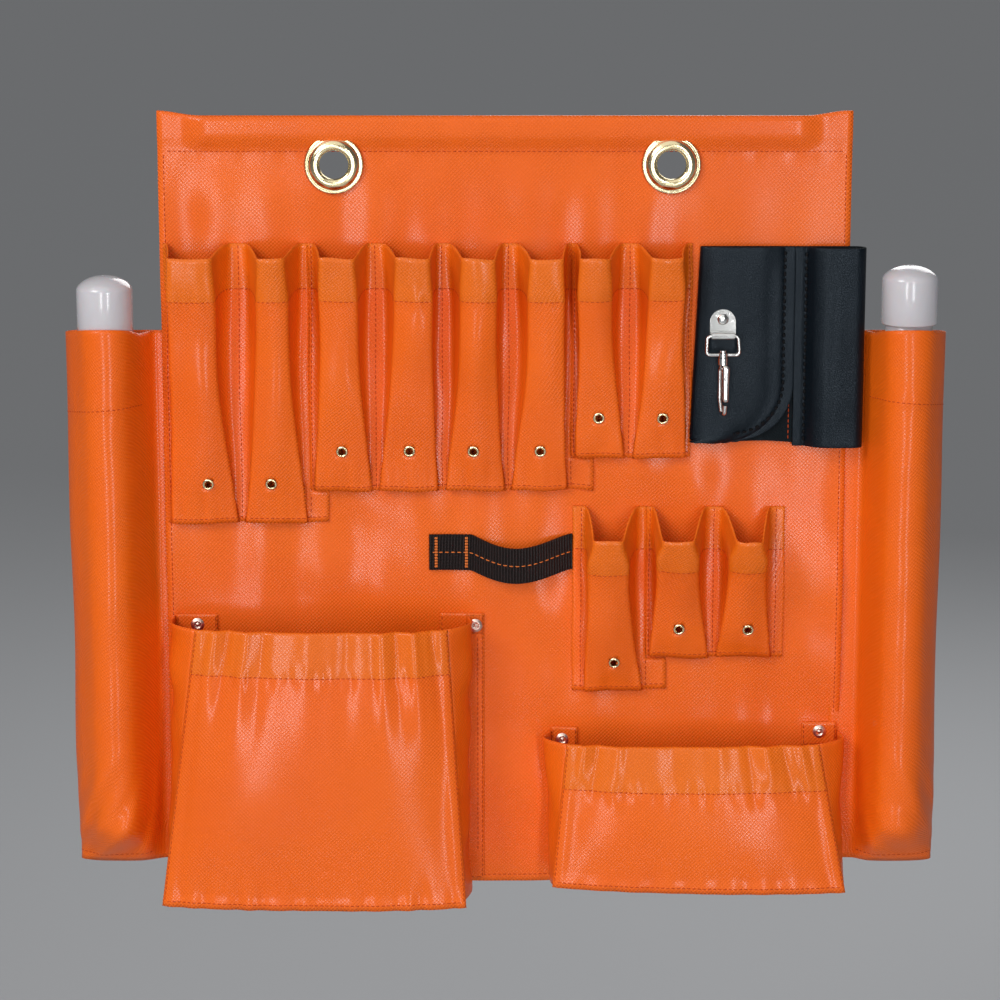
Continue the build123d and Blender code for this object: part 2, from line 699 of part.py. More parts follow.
def snap_hook():
    """Swivel stud, collar and the bent hook with its pivot tongue."""
    collar_top = RING_BOTTOM_Z - 1.9
    hook = Pos(0, 0, RING_BOTTOM_Z + 0.3) * Cylinder(STUD_R, 6.0)
    hook += Pos(0, 0, RING_BOTTOM_Z + 2.6) * Cylinder(STUD_HEAD_R, 1.4)
    hook += Pos(0, 0, collar_top - 2.4) * Cylinder(3.6, 4.8)
    route = [
        (0, 0.5, collar_top - 3),
        (0, 4.6, collar_top - 9),
        (0, 4.8, -160.0),
        (0, 1.5, -169.5),
        (0, -3.6, -170.0),
        (0, -4.6, -163.6),
    ]
    hook += rod(route, HOOK_WIRE_R, 2.2)
    hook += block(-0.8, 0.8, -4.0, 1.0, GATE_PIN_Z - 1.4, collar_top - 4)
    pin_hole = Pos(0, -GATE_PIN_U, GATE_PIN_Z) * Rot(0, 90, 0) * Cylinder(PIN_R, 20)
    return in_hook(hook - pin_hole)


def gate_spring():
    """The two coils of the gate's torsion spring, one on each side of the tongue."""
    coils = []
    for side in (-1, 1):
        coil = Pos(side * 1.4, -GATE_PIN_U, GATE_PIN_Z) * Rot(0, 90, 0) * (
            Cylinder(1.35, 0.9) - Cylinder(PIN_R + 0.1, 0.9)
        )
        coils.append(in_hook(coil))
    return coils


def gate_pin():
    return in_hook(Pos(0, -GATE_PIN_U, GATE_PIN_Z) * Rot(0, 90, 0) * Cylinder(PIN_R, 7.0))


def snap_gate():
    """A channel over the pin that runs down to the hook's point."""
    lean = math.degrees(math.atan((GATE_TIP_U - GATE_PIN_U) / (GATE_PIN_Z - GATE_TIP_Z)))
    length = GATE_PIN_Z - GATE_TIP_Z
    face = block(-2.9, 2.9, -2.4, -1.6, -length, 2.2)
    for side in (-1, 1):
        x0, x1 = sorted((side * 2.05, side * 2.9))
        face += block(x0, x1, -2.0, 1.2, -length * 0.55, 1.6)
    face += block(-1.6, 1.6, -2.4, 0.6, -length, -length + 8)
    face -= Rot(0, 90, 0) * Cylinder(PIN_R + 0.25, 20)
    return in_hook(Pos(0, -GATE_PIN_U, GATE_PIN_Z) * Rot(-lean, 0, 0) * face)


# ---- write every node ----
write("main_panel", main_panel())
write("hem_batten", hem_batten())
for side_name, side_sign in (("left", -1), ("right", 1)):
    write(f"grommet_{side_name}", grommet(side_sign * GROMMET_X))
    write(f"grommet_washer_{side_name}", grommet_washer(side_sign * GROMMET_X))

for node_name, strip_sizes in TOP_STRIPS.items():
    write(node_name, pocket_strip(strip_sizes, TOP_ROW_Z, TOP_STAND_OFF, EYELET_RISE, 0, 0))
left_sizes = LOWER_STRIPS["lower_strip_left"]
right_sizes = LOWER_STRIPS["lower_strip_right"]
lower = (LOWER_ROW_Z, LOWER_STAND_OFF, EYELET_RISE_LOWER)
write("lower_strip_left", pocket_strip(left_sizes, *lower, LOWER_FLANGE, 0))
write("lower_strip_right", pocket_strip(right_sizes, *lower, 0, LOWER_FLANGE))

top = (TOP_ROW_Z, TOP_STAND_OFF, EYELET_RISE)
write("drain_eyelets_top", [drain_eyelet(s, *top, x) for s in TOP_STRIPS.values() for x in s["eyelets"]])
write(
    "drain_eyelets_lower",
    [drain_eyelet(s, *lower, x) for s in LOWER_STRIPS.values() for x in s["eyelets"]],
)

for pouch_name, pouch_sizes in (("big_pouch", BIG_POUCH), ("small_pouch", SMALL_POUCH)):
    write(f"{pouch_name}_front", pouch_front(pouch_sizes))
    write(f"{pouch_name}_gusset", pouch_gusset(pouch_sizes))
    write(f"{pouch_name}_elastic", pouch_elastic(pouch_sizes))
rivet_places = BIG_POUCH["rivets"] + SMALL_POUCH["rivets"]
write("pouch_rivets", [pouch_rivet(x, z) for x, z in rivet_places])
write("pouch_rivet_washers", [rivet_washer(x, z) for x, z in rivet_places])

write("web_loop", web_loop())
for side_name, tube_sizes in TUBES.items():
    write(f"{side_name}_side_pocket", side_pocket(tube_sizes))
    write(f"{side_name}_tube", tube_pipe(tube_sizes))
    write(f"{side_name}_tube_plug", tube_plug(tube_sizes))
    write(f"{side_name}_tube_cap", tube_cap(tube_sizes))

write("knife_sheath", knife_sheath())
write("leather_tool_loop", leather_tool_loop())
write("hook_plate", hook_plate())
write("hook_rivet", hook_rivet())
write("hook_rivet_washer", hook_rivet_washer())
write("hook_ring", hook_ring())
write("snap_hook", snap_hook())
write("snap_gate", snap_gate())
write("gate_pin", gate_pin())
write("gate_spring", gate_spring())
print(len(written), "nodes written")
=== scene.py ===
import math
import random

import bmesh
import bpy
import numpy as np
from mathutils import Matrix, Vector


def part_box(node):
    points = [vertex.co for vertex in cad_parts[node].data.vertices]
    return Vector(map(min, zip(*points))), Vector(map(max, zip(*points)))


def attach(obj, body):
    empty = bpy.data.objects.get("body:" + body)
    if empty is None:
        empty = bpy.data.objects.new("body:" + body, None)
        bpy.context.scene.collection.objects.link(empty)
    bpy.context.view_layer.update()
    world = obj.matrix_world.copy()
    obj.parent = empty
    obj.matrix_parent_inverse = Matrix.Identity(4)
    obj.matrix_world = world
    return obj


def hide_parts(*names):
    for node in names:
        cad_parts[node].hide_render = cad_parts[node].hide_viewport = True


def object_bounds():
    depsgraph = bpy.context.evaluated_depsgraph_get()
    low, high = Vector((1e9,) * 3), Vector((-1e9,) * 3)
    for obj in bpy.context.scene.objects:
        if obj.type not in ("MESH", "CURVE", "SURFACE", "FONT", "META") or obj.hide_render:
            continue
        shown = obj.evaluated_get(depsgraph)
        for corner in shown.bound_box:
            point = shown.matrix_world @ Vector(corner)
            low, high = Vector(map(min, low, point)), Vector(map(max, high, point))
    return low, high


bl_info = {
    "name": "Hanging tool apron",
    "version": (1, 0, 0),
    "blender": (4, 5, 0),
    "location": "3D View > Sidebar > Apron",
    "description": "Builds the cloth, leather and hardware of a hanging tool apron around its frame",
    "category": "Object",
}

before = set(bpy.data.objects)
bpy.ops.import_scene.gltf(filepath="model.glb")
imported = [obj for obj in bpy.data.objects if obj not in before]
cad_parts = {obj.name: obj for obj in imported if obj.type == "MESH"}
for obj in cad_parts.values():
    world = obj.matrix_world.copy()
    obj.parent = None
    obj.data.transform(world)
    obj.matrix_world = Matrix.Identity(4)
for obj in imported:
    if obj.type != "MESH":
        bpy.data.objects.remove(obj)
CAD_LOW, CAD_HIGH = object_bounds()

MM = 0.001
BODY = "apron"
UV_NAME = "cloth"
OUTWARD = np.array((0.0, -1.0, 0.0))


# ---------------------------------------------------------------- small maths


def smooth(low, high, value):
    """0 below low, 1 above high and an easy curve between."""
    share = np.clip((value - low) / (high - low), 0.0, 1.0)
    return share * share * (3 - 2 * share)


def hump(centre, width, value):
    """1 at the centre, falling away as a bell."""
    return np.exp(-(((value - centre) / width) ** 2))


def waves(a, b, seed, size, count=7):
    """Soft rolling noise, about -1 to 1, over two coordinates in metres."""
    draw = random.Random(seed)
    total = np.zeros(np.broadcast(a, b).shape)
    for _ in range(count):
        angle = draw.uniform(0, 2 * math.pi)
        length = size * draw.uniform(0.6, 1.6)
        phase = draw.uniform(0, 2 * math.pi)
        along = a * math.cos(angle) + b * math.sin(angle)
        total = total + np.sin(along * 2 * math.pi / length + phase)
    return total / math.sqrt(count) * 0.75


def spaced(stops, step):
    """Values from the first stop to the last that land on every stop, about step apart."""
    values = [stops[0]]
    for low, high in zip(stops, stops[1:]):
        parts = max(1, round(abs(high - low) / step))
        values += [low + (high - low) * (k + 1) / parts for k in range(parts)]
    return np.array(values)


def rounded(points, times=2):
    """Cuts the corners of an open line of points, keeping its ends."""
    line = np.array(points, float)
    for _ in range(times):
        near = line[:-1] * 0.75 + line[1:] * 0.25
        far = line[:-1] * 0.25 + line[1:] * 0.75
        cut = np.empty((2 * len(near), line.shape[1]))
        cut[0::2], cut[1::2] = near, far
        line = np.vstack([line[:1], cut, line[-1:]])
    return line


def steps(line):
    """The distance from each point of a line to the next."""
    return np.linalg.norm(np.diff(line, axis=0), axis=1)


def runs(line):
    """How far along a line each of its points lies."""
    return np.concatenate([[0], np.cumsum(steps(line))])


def resampled(line, count):
    """The same line with count points spread evenly along it."""
    line = np.array(line, float)
    run = runs(line)
    at = np.linspace(0, run[-1], count)
    return np.stack([np.interp(at, run, line[:, k]) for k in range(line.shape[1])], axis=1)


def grid_point(grid, row, col):
    """The point of a (rows, columns, 3) grid at fractional row and column."""
    row = min(max(row, 0.0), grid.shape[0] - 1.0)
    col = min(max(col, 0.0), grid.shape[1] - 1.0)
    r, c = min(int(row), grid.shape[0] - 2), min(int(col), grid.shape[1] - 2)
    fr, fc = row - r, col - c
    low = grid[r, c] * (1 - fc) + grid[r, c + 1] * fc
    high = grid[r + 1, c] * (1 - fc) + grid[r + 1, c + 1] * fc
    return low * (1 - fr) + high * fr


def grid_line(grid, start, end, count):
    """Points along a straight run of a grid's rows and columns, with their outward normals."""
    line = []
    for k in range(count):
        share = k / (count - 1)
        row = start[0] + (end[0] - start[0]) * share
        col = start[1] + (end[1] - start[1]) * share
        point = grid_point(grid, row, col)
        across = grid_point(grid, row, col + 0.5) - grid_point(grid, row, col - 0.5)
        up = grid_point(grid, row + 0.5, col) - grid_point(grid, row - 0.5, col)
        normal = np.cross(across, up)
        length = np.linalg.norm(normal)
        normal = normal / length if length > 1e-12 else OUTWARD
        if np.dot(normal, OUTWARD) < 0:
            normal = -normal
        line.append((point, normal))
    return line


# ---------------------------------------------------------------- making objects


def new_object(name, verts, faces, material, body=BODY):
    """A mesh object that rides on a body and wears one material."""
    mesh = bpy.data.meshes.new(name)
    mesh.from_pydata([tuple(v) for v in verts], [], faces)
    mesh.validate()
    mesh.polygons.foreach_set("use_smooth", [True] * len(mesh.polygons))
    piece = bpy.data.objects.new(name, mesh)
    bpy.context.scene.collection.objects.link(piece)
    mesh.materials.append(material)
    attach(piece, body)
    return piece


def grid_faces(rows, cols, closed=False):
    """Four-sided faces between the points of a grid; closed joins its last column to its first."""
    faces = []
    width = cols if closed else cols - 1
    for r in range(rows - 1):
        for c in range(width):
            d = (c + 1) % cols
            faces.append((r * cols + c, r * cols + d, (r + 1) * cols + d, (r + 1) * cols + c))
    return faces


def cloth_lengths(grid):
    """How far each point of a grid lies along the cloth, across and up, in metres."""
    rows, cols = grid.shape[:2]
    along = np.zeros((rows, cols))
    along[:, 1:] = np.cumsum(np.linalg.norm(np.diff(grid, axis=1), axis=2), axis=1)
    along -= along[:, cols // 2 : cols // 2 + 1]
    up = np.zeros((rows, cols))
    up[1:] = np.cumsum(np.linalg.norm(np.diff(grid, axis=0), axis=2), axis=0)
    return np.stack([along.ravel(), up.ravel()], axis=1)


def cloth_piece(name, grid, material, thick, hole=None, extra=()):
    """A sheet from grids of points, with its weave measured along the cloth and a real thickness."""
    verts, faces, flat = [], [], []
    for part in (grid, *extra):
        rows, cols = part.shape[:2]
        start = len(verts)
        found = grid_faces(rows, cols)
        if hole is not None:
            points = part.reshape(-1, 3)
            found = [f for f in found if not hole((points[f[0]] + points[f[2]]) / 2)]
        faces += [tuple(start + v for v in f) for f in found]
        verts += list(part.reshape(-1, 3))
        flat.append(cloth_lengths(part))
    piece = new_object(name, verts, faces, material)
    layer = piece.data.uv_layers.new(name=UV_NAME)
    flat = np.vstack(flat)
    loops = np.zeros(len(piece.data.loops), int)
    piece.data.loops.foreach_get("vertex_index", loops)
    layer.data.foreach_set("uv", flat[loops].astype(np.float32).ravel())
    shell = piece.modifiers.new("Thickness", "SOLIDIFY")
    shell.thickness = thick
    shell.offset = 0
    shell.use_even_offset = False
    return piece


def lathe(name, profile, places, material, turns=48, closed=True):
    """Rings of a (radius, depth) profile about the Y axis, one at each (point, tilt) place."""
    verts, faces = [], []
    ring = len(profile)
    for place, tilt in places:
        start = len(verts)
        ct, st = math.cos(tilt), math.sin(tilt)
        for k in range(turns):
            angle = 2 * math.pi * k / turns
            for radius, depth in profile:
                x, y, z = radius * math.cos(angle), depth, radius * math.sin(angle)
                verts.append((place[0] + x, place[1] + y * ct - z * st, place[2] + y * st + z * ct))
        for k in range(turns):
            here, there = start + k * ring, start + (k + 1) % turns * ring
            for p in range(ring if closed else ring - 1):
                q = (p + 1) % ring
                faces.append((here + p, there + p, there + q, here + q))
    piece = new_object(name, verts, faces, material)
    tidy_mesh(piece)
    return piece


def tidy_mesh(piece):
    """Joins doubled points and turns every face outward."""
    work = bmesh.new()
    work.from_mesh(piece.data)
    bmesh.ops.remove_doubles(work, verts=work.verts, dist=1e-6)
    bmesh.ops.dissolve_degenerate(work, dist=1e-7, edges=work.edges)
    bmesh.ops.recalc_face_normals(work, faces=work.faces)
    work.to_mesh(piece.data)
    work.free()


def spin_up(name, profile, centre, material, body, turns=64):
    """A (radius, height) profile turned about a vertical axis."""
    verts, faces = [], []
    ring = len(profile)
    for k in range(turns):
        angle = 2 * math.pi * k / turns
        for radius, height in profile:
            verts.append((centre[0] + radius * math.cos(angle), centre[1] + radius * math.sin(angle), height))
    for k in range(turns):
        m = (k + 1) % turns
        for p in range(ring - 1):
            faces.append((k * ring + p, m * ring + p, m * ring + p + 1, k * ring + p + 1))
    piece = new_object(name, verts, faces, material, body)
    tidy_mesh(piece)
    return piece


THREAD_SIDES = 6
THREAD_FLATNESS = 0.8
THREAD_RINGS = ((0.0, 0.25), (0.12, 0.8), (0.5, 1.0), (0.88, 0.8), (1.0, 0.25))


def stitches(name, lines, material, pitch, length, radius, slot="orange_vinyl", lift=0.0):
    """Short thread beads along lines of (point, normal), dipping into the cloth at both ends."""
    verts, faces = [], []
    for line in lines:
        points = np.array([p for p, _ in line])
        normals = np.array([n for _, n in line])
        run = runs(points)
        count = max(1, int(run[-1] / pitch))
        step = run[-1] / count
        for k in range(count):
            a, b = (k + 0.5) * step - length / 2, (k + 0.5) * step + length / 2
            ends = [np.array([np.interp(t, run, points[:, i]) for i in range(3)]) for t in (a, b)]
            normal = np.array([np.interp((a + b) / 2, run, normals[:, i]) for i in range(3)])
            normal /= max(np.linalg.norm(normal), 1e-9)
            along = ends[1] - ends[0]
            size = np.linalg.norm(along)
            if size < 1e-6:
                continue
            side = np.cross(along / size, normal)
            start = len(verts)
            for share, fat in THREAD_RINGS:
                middle = ends[0] + along * share + normal * (lift + radius * (fat - 0.75))
                for s in range(THREAD_SIDES):
                    angle = 2 * math.pi * s / THREAD_SIDES
                    out = side * math.cos(angle) * radius * fat
                    out = out + normal * math.sin(angle) * radius * THREAD_FLATNESS * fat
                    verts.append(middle + out)
            for r in range(len(THREAD_RINGS) - 1):
                for s in range(THREAD_SIDES):
                    t = (s + 1) % THREAD_SIDES
                    low, high = start + r * THREAD_SIDES, start + (r + 1) * THREAD_SIDES
                    faces.append((low + s, low + t, high + t, high + s))
            faces.append(tuple(start + s for s in reversed(range(THREAD_SIDES))))
            last = start + (len(THREAD_RINGS) - 1) * THREAD_SIDES
            faces.append(tuple(last + s for s in range(THREAD_SIDES)))
    return new_object(name, verts, faces, material)


# ---------------------------------------------------------------- materials


def socket(tree, name, direction, kind, default=None):
    """Adds a named input or output to a node group."""
    made = tree.interface.new_socket(name=name, in_out=direction, socket_type=kind)
    if default is not None:
        made.default_value = default
    return made


def link(tree, source, target):
    tree.links.new(source, target)


def maths(tree, operation, a, b=None, clamp=False):
    """A Math node with numbers or sockets for its inputs; gives back its output."""
    node = tree.nodes.new("ShaderNodeMath")
    node.operation = operation
    node.use_clamp = clamp
    for slot, value in zip(node.inputs, (a, b)):
        if value is None:
            continue
        if isinstance(value, (int, float)):
            slot.default_value = value
        else:
            link(tree, value, slot)
    return node.outputs[0]


def product(tree, a, b):
    return maths(tree, "MULTIPLY", a, b)


def total(tree, a, b):
    return maths(tree, "ADD", a, b)


def ramp(tree, value, low, high):
    """Maps low..high to 0..1, clamped."""
    node = tree.nodes.new("ShaderNodeMapRange")
    node.inputs["From Min"].default_value = low
    node.inputs["From Max"].default_value = high
    link(tree, value, node.inputs["Value"])
    return node.outputs["Result"]


def blend_colour(tree, share, a, b):
    """Mixes colour a towards colour b by a share; each may be a value or a socket."""
    node = tree.nodes.new("ShaderNodeMix")
    node.data_type = "RGBA"
    for key, value in (("Factor_Float", share), ("A_Color", a), ("B_Color", b)):
        slot = next(s for s in node.inputs if s.identifier == key)
        if isinstance(value, bpy.types.NodeSocket):
            link(tree, value, slot)
        else:
            slot.default_value = tuple(value)
    return next(s for s in node.outputs if s.identifier == "Result_Color")


def noise(tree, vector, scale, detail=3.0, rough=0.55):
    node = tree.nodes.new("ShaderNodeTexNoise")
    node.inputs["Scale"].default_value = scale
    node.inputs["Detail"].default_value = detail
    node.inputs["Roughness"].default_value = rough
    link(tree, vector, node.inputs["Vector"])
    return node.outputs["Fac"]


def group_tree(name):
    tree = bpy.data.node_groups.new(name, "ShaderNodeTree")
    return tree, tree.nodes.new("NodeGroupInput"), tree.nodes.new("NodeGroupOutput")


def weave_group():
    """Diamond weave showing through a coating: a height and a mask of the raised threads."""
    found = bpy.data.node_groups.get("Coated Weave")
    if found:
        return found
    tree, inside, outside = group_tree("Coated Weave")
    socket(tree, "Vector", "INPUT", "NodeSocketVector")
    socket(tree, "Pitch", "INPUT", "NodeSocketFloat", 0.0018)
    socket(tree, "Fade", "INPUT", "NodeSocketFloat", 0.5)
    socket(tree, "Height", "OUTPUT", "NodeSocketFloat")
    socket(tree, "Threads", "OUTPUT", "NodeSocketFloat")
    split = tree.nodes.new("ShaderNodeSeparateXYZ")
    link(tree, inside.outputs["Vector"], split.inputs[0])
    turn = maths(tree, "DIVIDE", 2 * math.pi, inside.outputs["Pitch"])
    across = maths(tree, "COSINE", product(tree, split.outputs[0], turn))
    upward = maths(tree, "COSINE", product(tree, split.outputs[1], turn))
    crossed = product(tree, across, upward)
    patch = noise(tree, inside.outputs["Vector"], 34.0, 2.0)
    faded = product(tree, ramp(tree, patch, 0.35, 0.7), inside.outputs["Fade"])
    fade = maths(tree, "SUBTRACT", 1.0, faded)
    height = product(tree, crossed, fade)
    link(tree, height, outside.inputs["Height"])
    link(tree, product(tree, ramp(tree, crossed, -0.2, 0.9), fade), outside.inputs["Threads"])
    return tree


def handling_group():
    """Soft dust, rubbed patches and a slow drift of tone that handled goods have."""
    found = bpy.data.node_groups.get("Handling")
    if found:
        return found
    tree, inside, outside = group_tree("Handling")
    socket(tree, "Vector", "INPUT", "NodeSocketVector")
    socket(tree, "Size", "INPUT", "NodeSocketFloat", 1.0)
    socket(tree, "Drift", "OUTPUT", "NodeSocketFloat")
    socket(tree, "Dust", "OUTPUT", "NodeSocketFloat")
    socket(tree, "Scuffs", "OUTPUT", "NodeSocketFloat")
    scaled = tree.nodes.new("ShaderNodeVectorMath")
    scaled.operation = "SCALE"
    link(tree, inside.outputs["Vector"], scaled.inputs[0])
    link(tree, inside.outputs["Size"], scaled.inputs["Scale"])
    vector = scaled.outputs[0]
    link(tree, ramp(tree, noise(tree, vector, 9.0, 3.0), 0.3, 0.7), outside.inputs["Drift"])
    link(tree, ramp(tree, noise(tree, vector, 420.0, 4.0, 0.7), 0.62, 0.8), outside.inputs["Dust"])
    stretched = tree.nodes.new("ShaderNodeMapping")
    stretched.inputs["Rotation"].default_value = (0.3, 0.5, 0.7)
    stretched.inputs["Scale"].default_value = (1.0, 6.0, 1.0)
    link(tree, vector, stretched.inputs["Vector"])
    scratches = noise(tree, stretched.outputs[0], 90.0, 5.0, 0.75)
    link(tree, ramp(tree, scratches, 0.6, 0.78), outside.inputs["Scuffs"])
    return tree


def edge_wear_and_crease_shade_group():
    """Exposed edges, for wear, and creases, for painted shade, from how the surface turns."""
    found = bpy.data.node_groups.get("Edge Wear and Crease Shade")
    if found:
        return found
    tree, inside, outside = group_tree("Edge Wear and Crease Shade")
    socket(tree, "Reach", "INPUT", "NodeSocketFloat", 0.08)
    socket(tree, "Edge", "OUTPUT", "NodeSocketFloat")
    socket(tree, "Crease Shade", "OUTPUT", "NodeSocketFloat")
    geometry = tree.nodes.new("ShaderNodeNewGeometry")
    point = geometry.outputs["Pointiness"]
    for name, turned in (("Edge", (point, 0.5)), ("Crease Shade", (0.5, point))):
        amount = maths(tree, "SUBTRACT", *turned)
        link(tree, maths(tree, "DIVIDE", amount, inside.outputs["Reach"], clamp=True), outside.inputs[name])
    return tree


def placed(tree, group, **values):
    """Puts a node group in a material, with numbers or sockets for its inputs."""
    node = tree.nodes.new("ShaderNodeGroup")
    node.node_tree = group
    for name, value in values.items():
        slot = node.inputs[name.replace("_", " ")]
        if isinstance(value, (int, float)):
            slot.default_value = value
        else:
            link(tree, value, slot)
    return node


def blank_material(name, **values):
    """A material with a Principled shader whose constants are set on its own sockets."""
    material = bpy.data.materials.new(name)
    material.use_nodes = True
    tree = material.node_tree
    shader = tree.nodes["Principled BSDF"]
    for key, value in values.items():
        shader.inputs[key.replace("_", " ")].default_value = value
    return material, tree, shader


def position(tree):
    return tree.nodes.new("ShaderNodeTexCoord").outputs["Object"]


def bump(tree, shader, height, distance):
    node = tree.nodes.new("ShaderNodeBump")
    node.inputs["Distance"].default_value = distance
    link(tree, height, node.inputs["Height"])
    link(tree, node.outputs[0], shader.inputs["Normal"])


def coated_cloth(name, face, shade, weave_depth, fade, rough):
    """Coated woven cloth: weave relief, tone drift, paler thread crests as painted highlight, paler rubbed
    ridges and painted shade in the creases.
    """
    material, tree, shader = blank_material(
        name, Specular_IOR_Level=0.2, Coat_Roughness=0.18, Coat_IOR=1.5
    )
    uv = tree.nodes.new("ShaderNodeUVMap")
    uv.uv_map = UV_NAME
    weave = placed(tree, weave_group(), Vector=uv.outputs[0], Pitch=0.0027, Fade=fade)
    handling = placed(tree, handling_group(), Vector=position(tree), Size=1.0)
    edge_wear_crease_shade = placed(tree, edge_wear_and_crease_shade_group(), Reach=0.1)
    colour = blend_colour(tree, handling.outputs["Drift"], face, shade)
    pale = tuple(min(1.0, c * 1.1 + 0.02) for c in face[:3]) + (1,)
    # Painted shade: deep is the darker, redder tone painted into the creases.
    deep = tuple(c * k for c, k in zip(face[:3], (0.72, 0.5, 0.5))) + (1,)
    # Painted highlight: the raised threads of the weave are painted paler, as glints on their crests.
    colour = blend_colour(tree, product(tree, weave.outputs["Threads"], 0.4), colour, pale)
    colour = blend_colour(tree, product(tree, edge_wear_crease_shade.outputs["Edge"], 0.35), colour, pale)
    # Painted shade: the creases are painted in the deep tone.
    colour = blend_colour(tree, product(tree, edge_wear_crease_shade.outputs["Crease Shade"], 0.6), colour, deep)
    dusty = product(tree, handling.outputs["Dust"], 0.06)
    colour = blend_colour(tree, dusty, colour, (0.8, 0.62, 0.5, 1))
    link(tree, colour, shader.inputs["Base Color"])
    base = total(tree, rough, product(tree, handling.outputs["Scuffs"], 0.1))
    link(tree, maths(tree, "SUBTRACT", base, product(tree, weave.outputs["Threads"], 0.12)),
         shader.inputs["Roughness"])
    gloss = total(tree, 0.09, product(tree, weave.outputs["Threads"], 0.6))
    link(tree, total(tree, gloss, product(tree, handling.outputs["Drift"], 0.12)),
         shader.inputs["Coat Weight"])
    bump(tree, shader, weave.outputs["Height"], weave_depth)
    return material


def thread_material(name, colour):
    """Twisted thread: slanting plies, with painted shade in the grooves between them."""
    material, tree, shader = blank_material(name, Roughness=0.6, Specular_IOR_Level=0.15)
    node = tree.nodes.new("ShaderNodeTexWave")
    node.inputs["Scale"].default_value = 900.0
    node.inputs["Distortion"].default_value = 2.0
    node.bands_direction = "DIAGONAL"
    link(tree, position(tree), node.inputs["Vector"])
    ply_groove_shade = tuple(c * 0.75 for c in colour[:3]) + (1,)
    # Painted shade: the grooves between the plies are painted in the darker tone.
    link(tree, blend_colour(tree, node.outputs["Fac"], ply_groove_shade, colour), shader.inputs["Base Color"])
    bump(tree, shader, node.outputs["Fac"], 0.0001)
    return material


def metal_material(name, colour, dull, rough):
    """Plated metal with fine scratches, soft tarnish and smudges, and painted shade in its creases."""
    material, tree, shader = blank_material(name, Metallic=1.0)
    handling = placed(tree, handling_group(), Vector=position(tree), Size=4.0)
    edge_wear_crease_shade = placed(tree, edge_wear_and_crease_shade_group(), Reach=0.12)
    tone = blend_colour(tree, product(tree, handling.outputs["Drift"], 0.6), colour, dull)
    # Painted shade: the creases are painted dark, toward a deep copy of the dull tone.
    tone = blend_colour(tree, product(tree, edge_wear_crease_shade.outputs["Crease Shade"], 0.8), tone,
                        tuple(c * 0.35 for c in dull[:3]) + (1,))
    link(tree, tone, shader.inputs["Base Color"])
    rubbed = product(tree, handling.outputs["Scuffs"], 0.2)
    link(tree, total(tree, rough, rubbed), shader.inputs["Roughness"])
    bump(tree, shader, handling.outputs["Scuffs"], 0.00006)
    return material


def plastic_material(name, colour, rough, grain):
    """Moulded plastic: faint flow marks, dust and handling smears."""
    material, tree, shader = blank_material(
        name, Subsurface_Weight=0.12, Subsurface_Scale=0.004, Coat_Roughness=0.1, Specular_IOR_Level=0.5
    )
    handling = placed(tree, handling_group(), Vector=position(tree), Size=1.6)
    tone = blend_colour(tree, handling.outputs["Drift"], colour, tuple(c * 0.93 for c in colour[:3]) + (1,))
    tone = blend_colour(tree, product(tree, handling.outputs["Dust"], 0.12), tone, (0.5, 0.47, 0.44, 1))
    link(tree, tone, shader.inputs["Base Color"])
    link(tree, total(tree, rough, product(tree, handling.outputs["Scuffs"], 0.25)),
         shader.inputs["Roughness"])
    link(tree, maths(tree, "SUBTRACT", 0.35, product(tree, handling.outputs["Scuffs"], 0.2)),
         shader.inputs["Coat Weight"])
    bump(tree, shader, noise(tree, position(tree), 160.0, 4.0), grain)
    return material


def leather_material(name, colour, rough, grain_depth, napped):
    """Leather: cells of grain, creases and a duller rubbed surface."""
    material, tree, shader = blank_material(
        name, Specular_IOR_Level=0.08 if napped else 0.24, Specular_Tint=(0.72, 0.86, 1.0, 1.0)
    )
    where = position(tree)
    cells = tree.nodes.new("ShaderNodeTexVoronoi")
    cells.feature = "DISTANCE_TO_EDGE"
    cells.inputs["Scale"].default_value = 700.0
    link(tree, where, cells.inputs["Vector"])
    grain = ramp(tree, cells.outputs["Distance"], 0.0, 0.16)
    handling = placed(tree, handling_group(), Vector=where, Size=1.5)
    edge_wear_crease_shade = placed(tree, edge_wear_and_crease_shade_group(), Reach=0.1)
    pale = tuple(min(1.0, c * 1.8 + 0.004) for c in colour[:3]) + (1,)
    tone = blend_colour(tree, product(tree, handling.outputs["Drift"], 0.3), colour, pale)
    tone = blend_colour(tree, product(tree, edge_wear_crease_shade.outputs["Edge"], 0.3), tone, pale)
    tone = blend_colour(tree, product(tree, handling.outputs["Dust"], 0.1), tone, (0.1, 0.1, 0.1, 1))
    link(tree, tone, shader.inputs["Base Color"])
    link(tree, total(tree, rough, product(tree, handling.outputs["Scuffs"], 0.15)),
         shader.inputs["Roughness"])
    fine = noise(tree, where, 1500.0 if napped else 500.0, 6.0, 0.7)
    height = total(tree, product(tree, grain, 0.6), fine)
    bump(tree, shader, height, grain_depth)
    return material


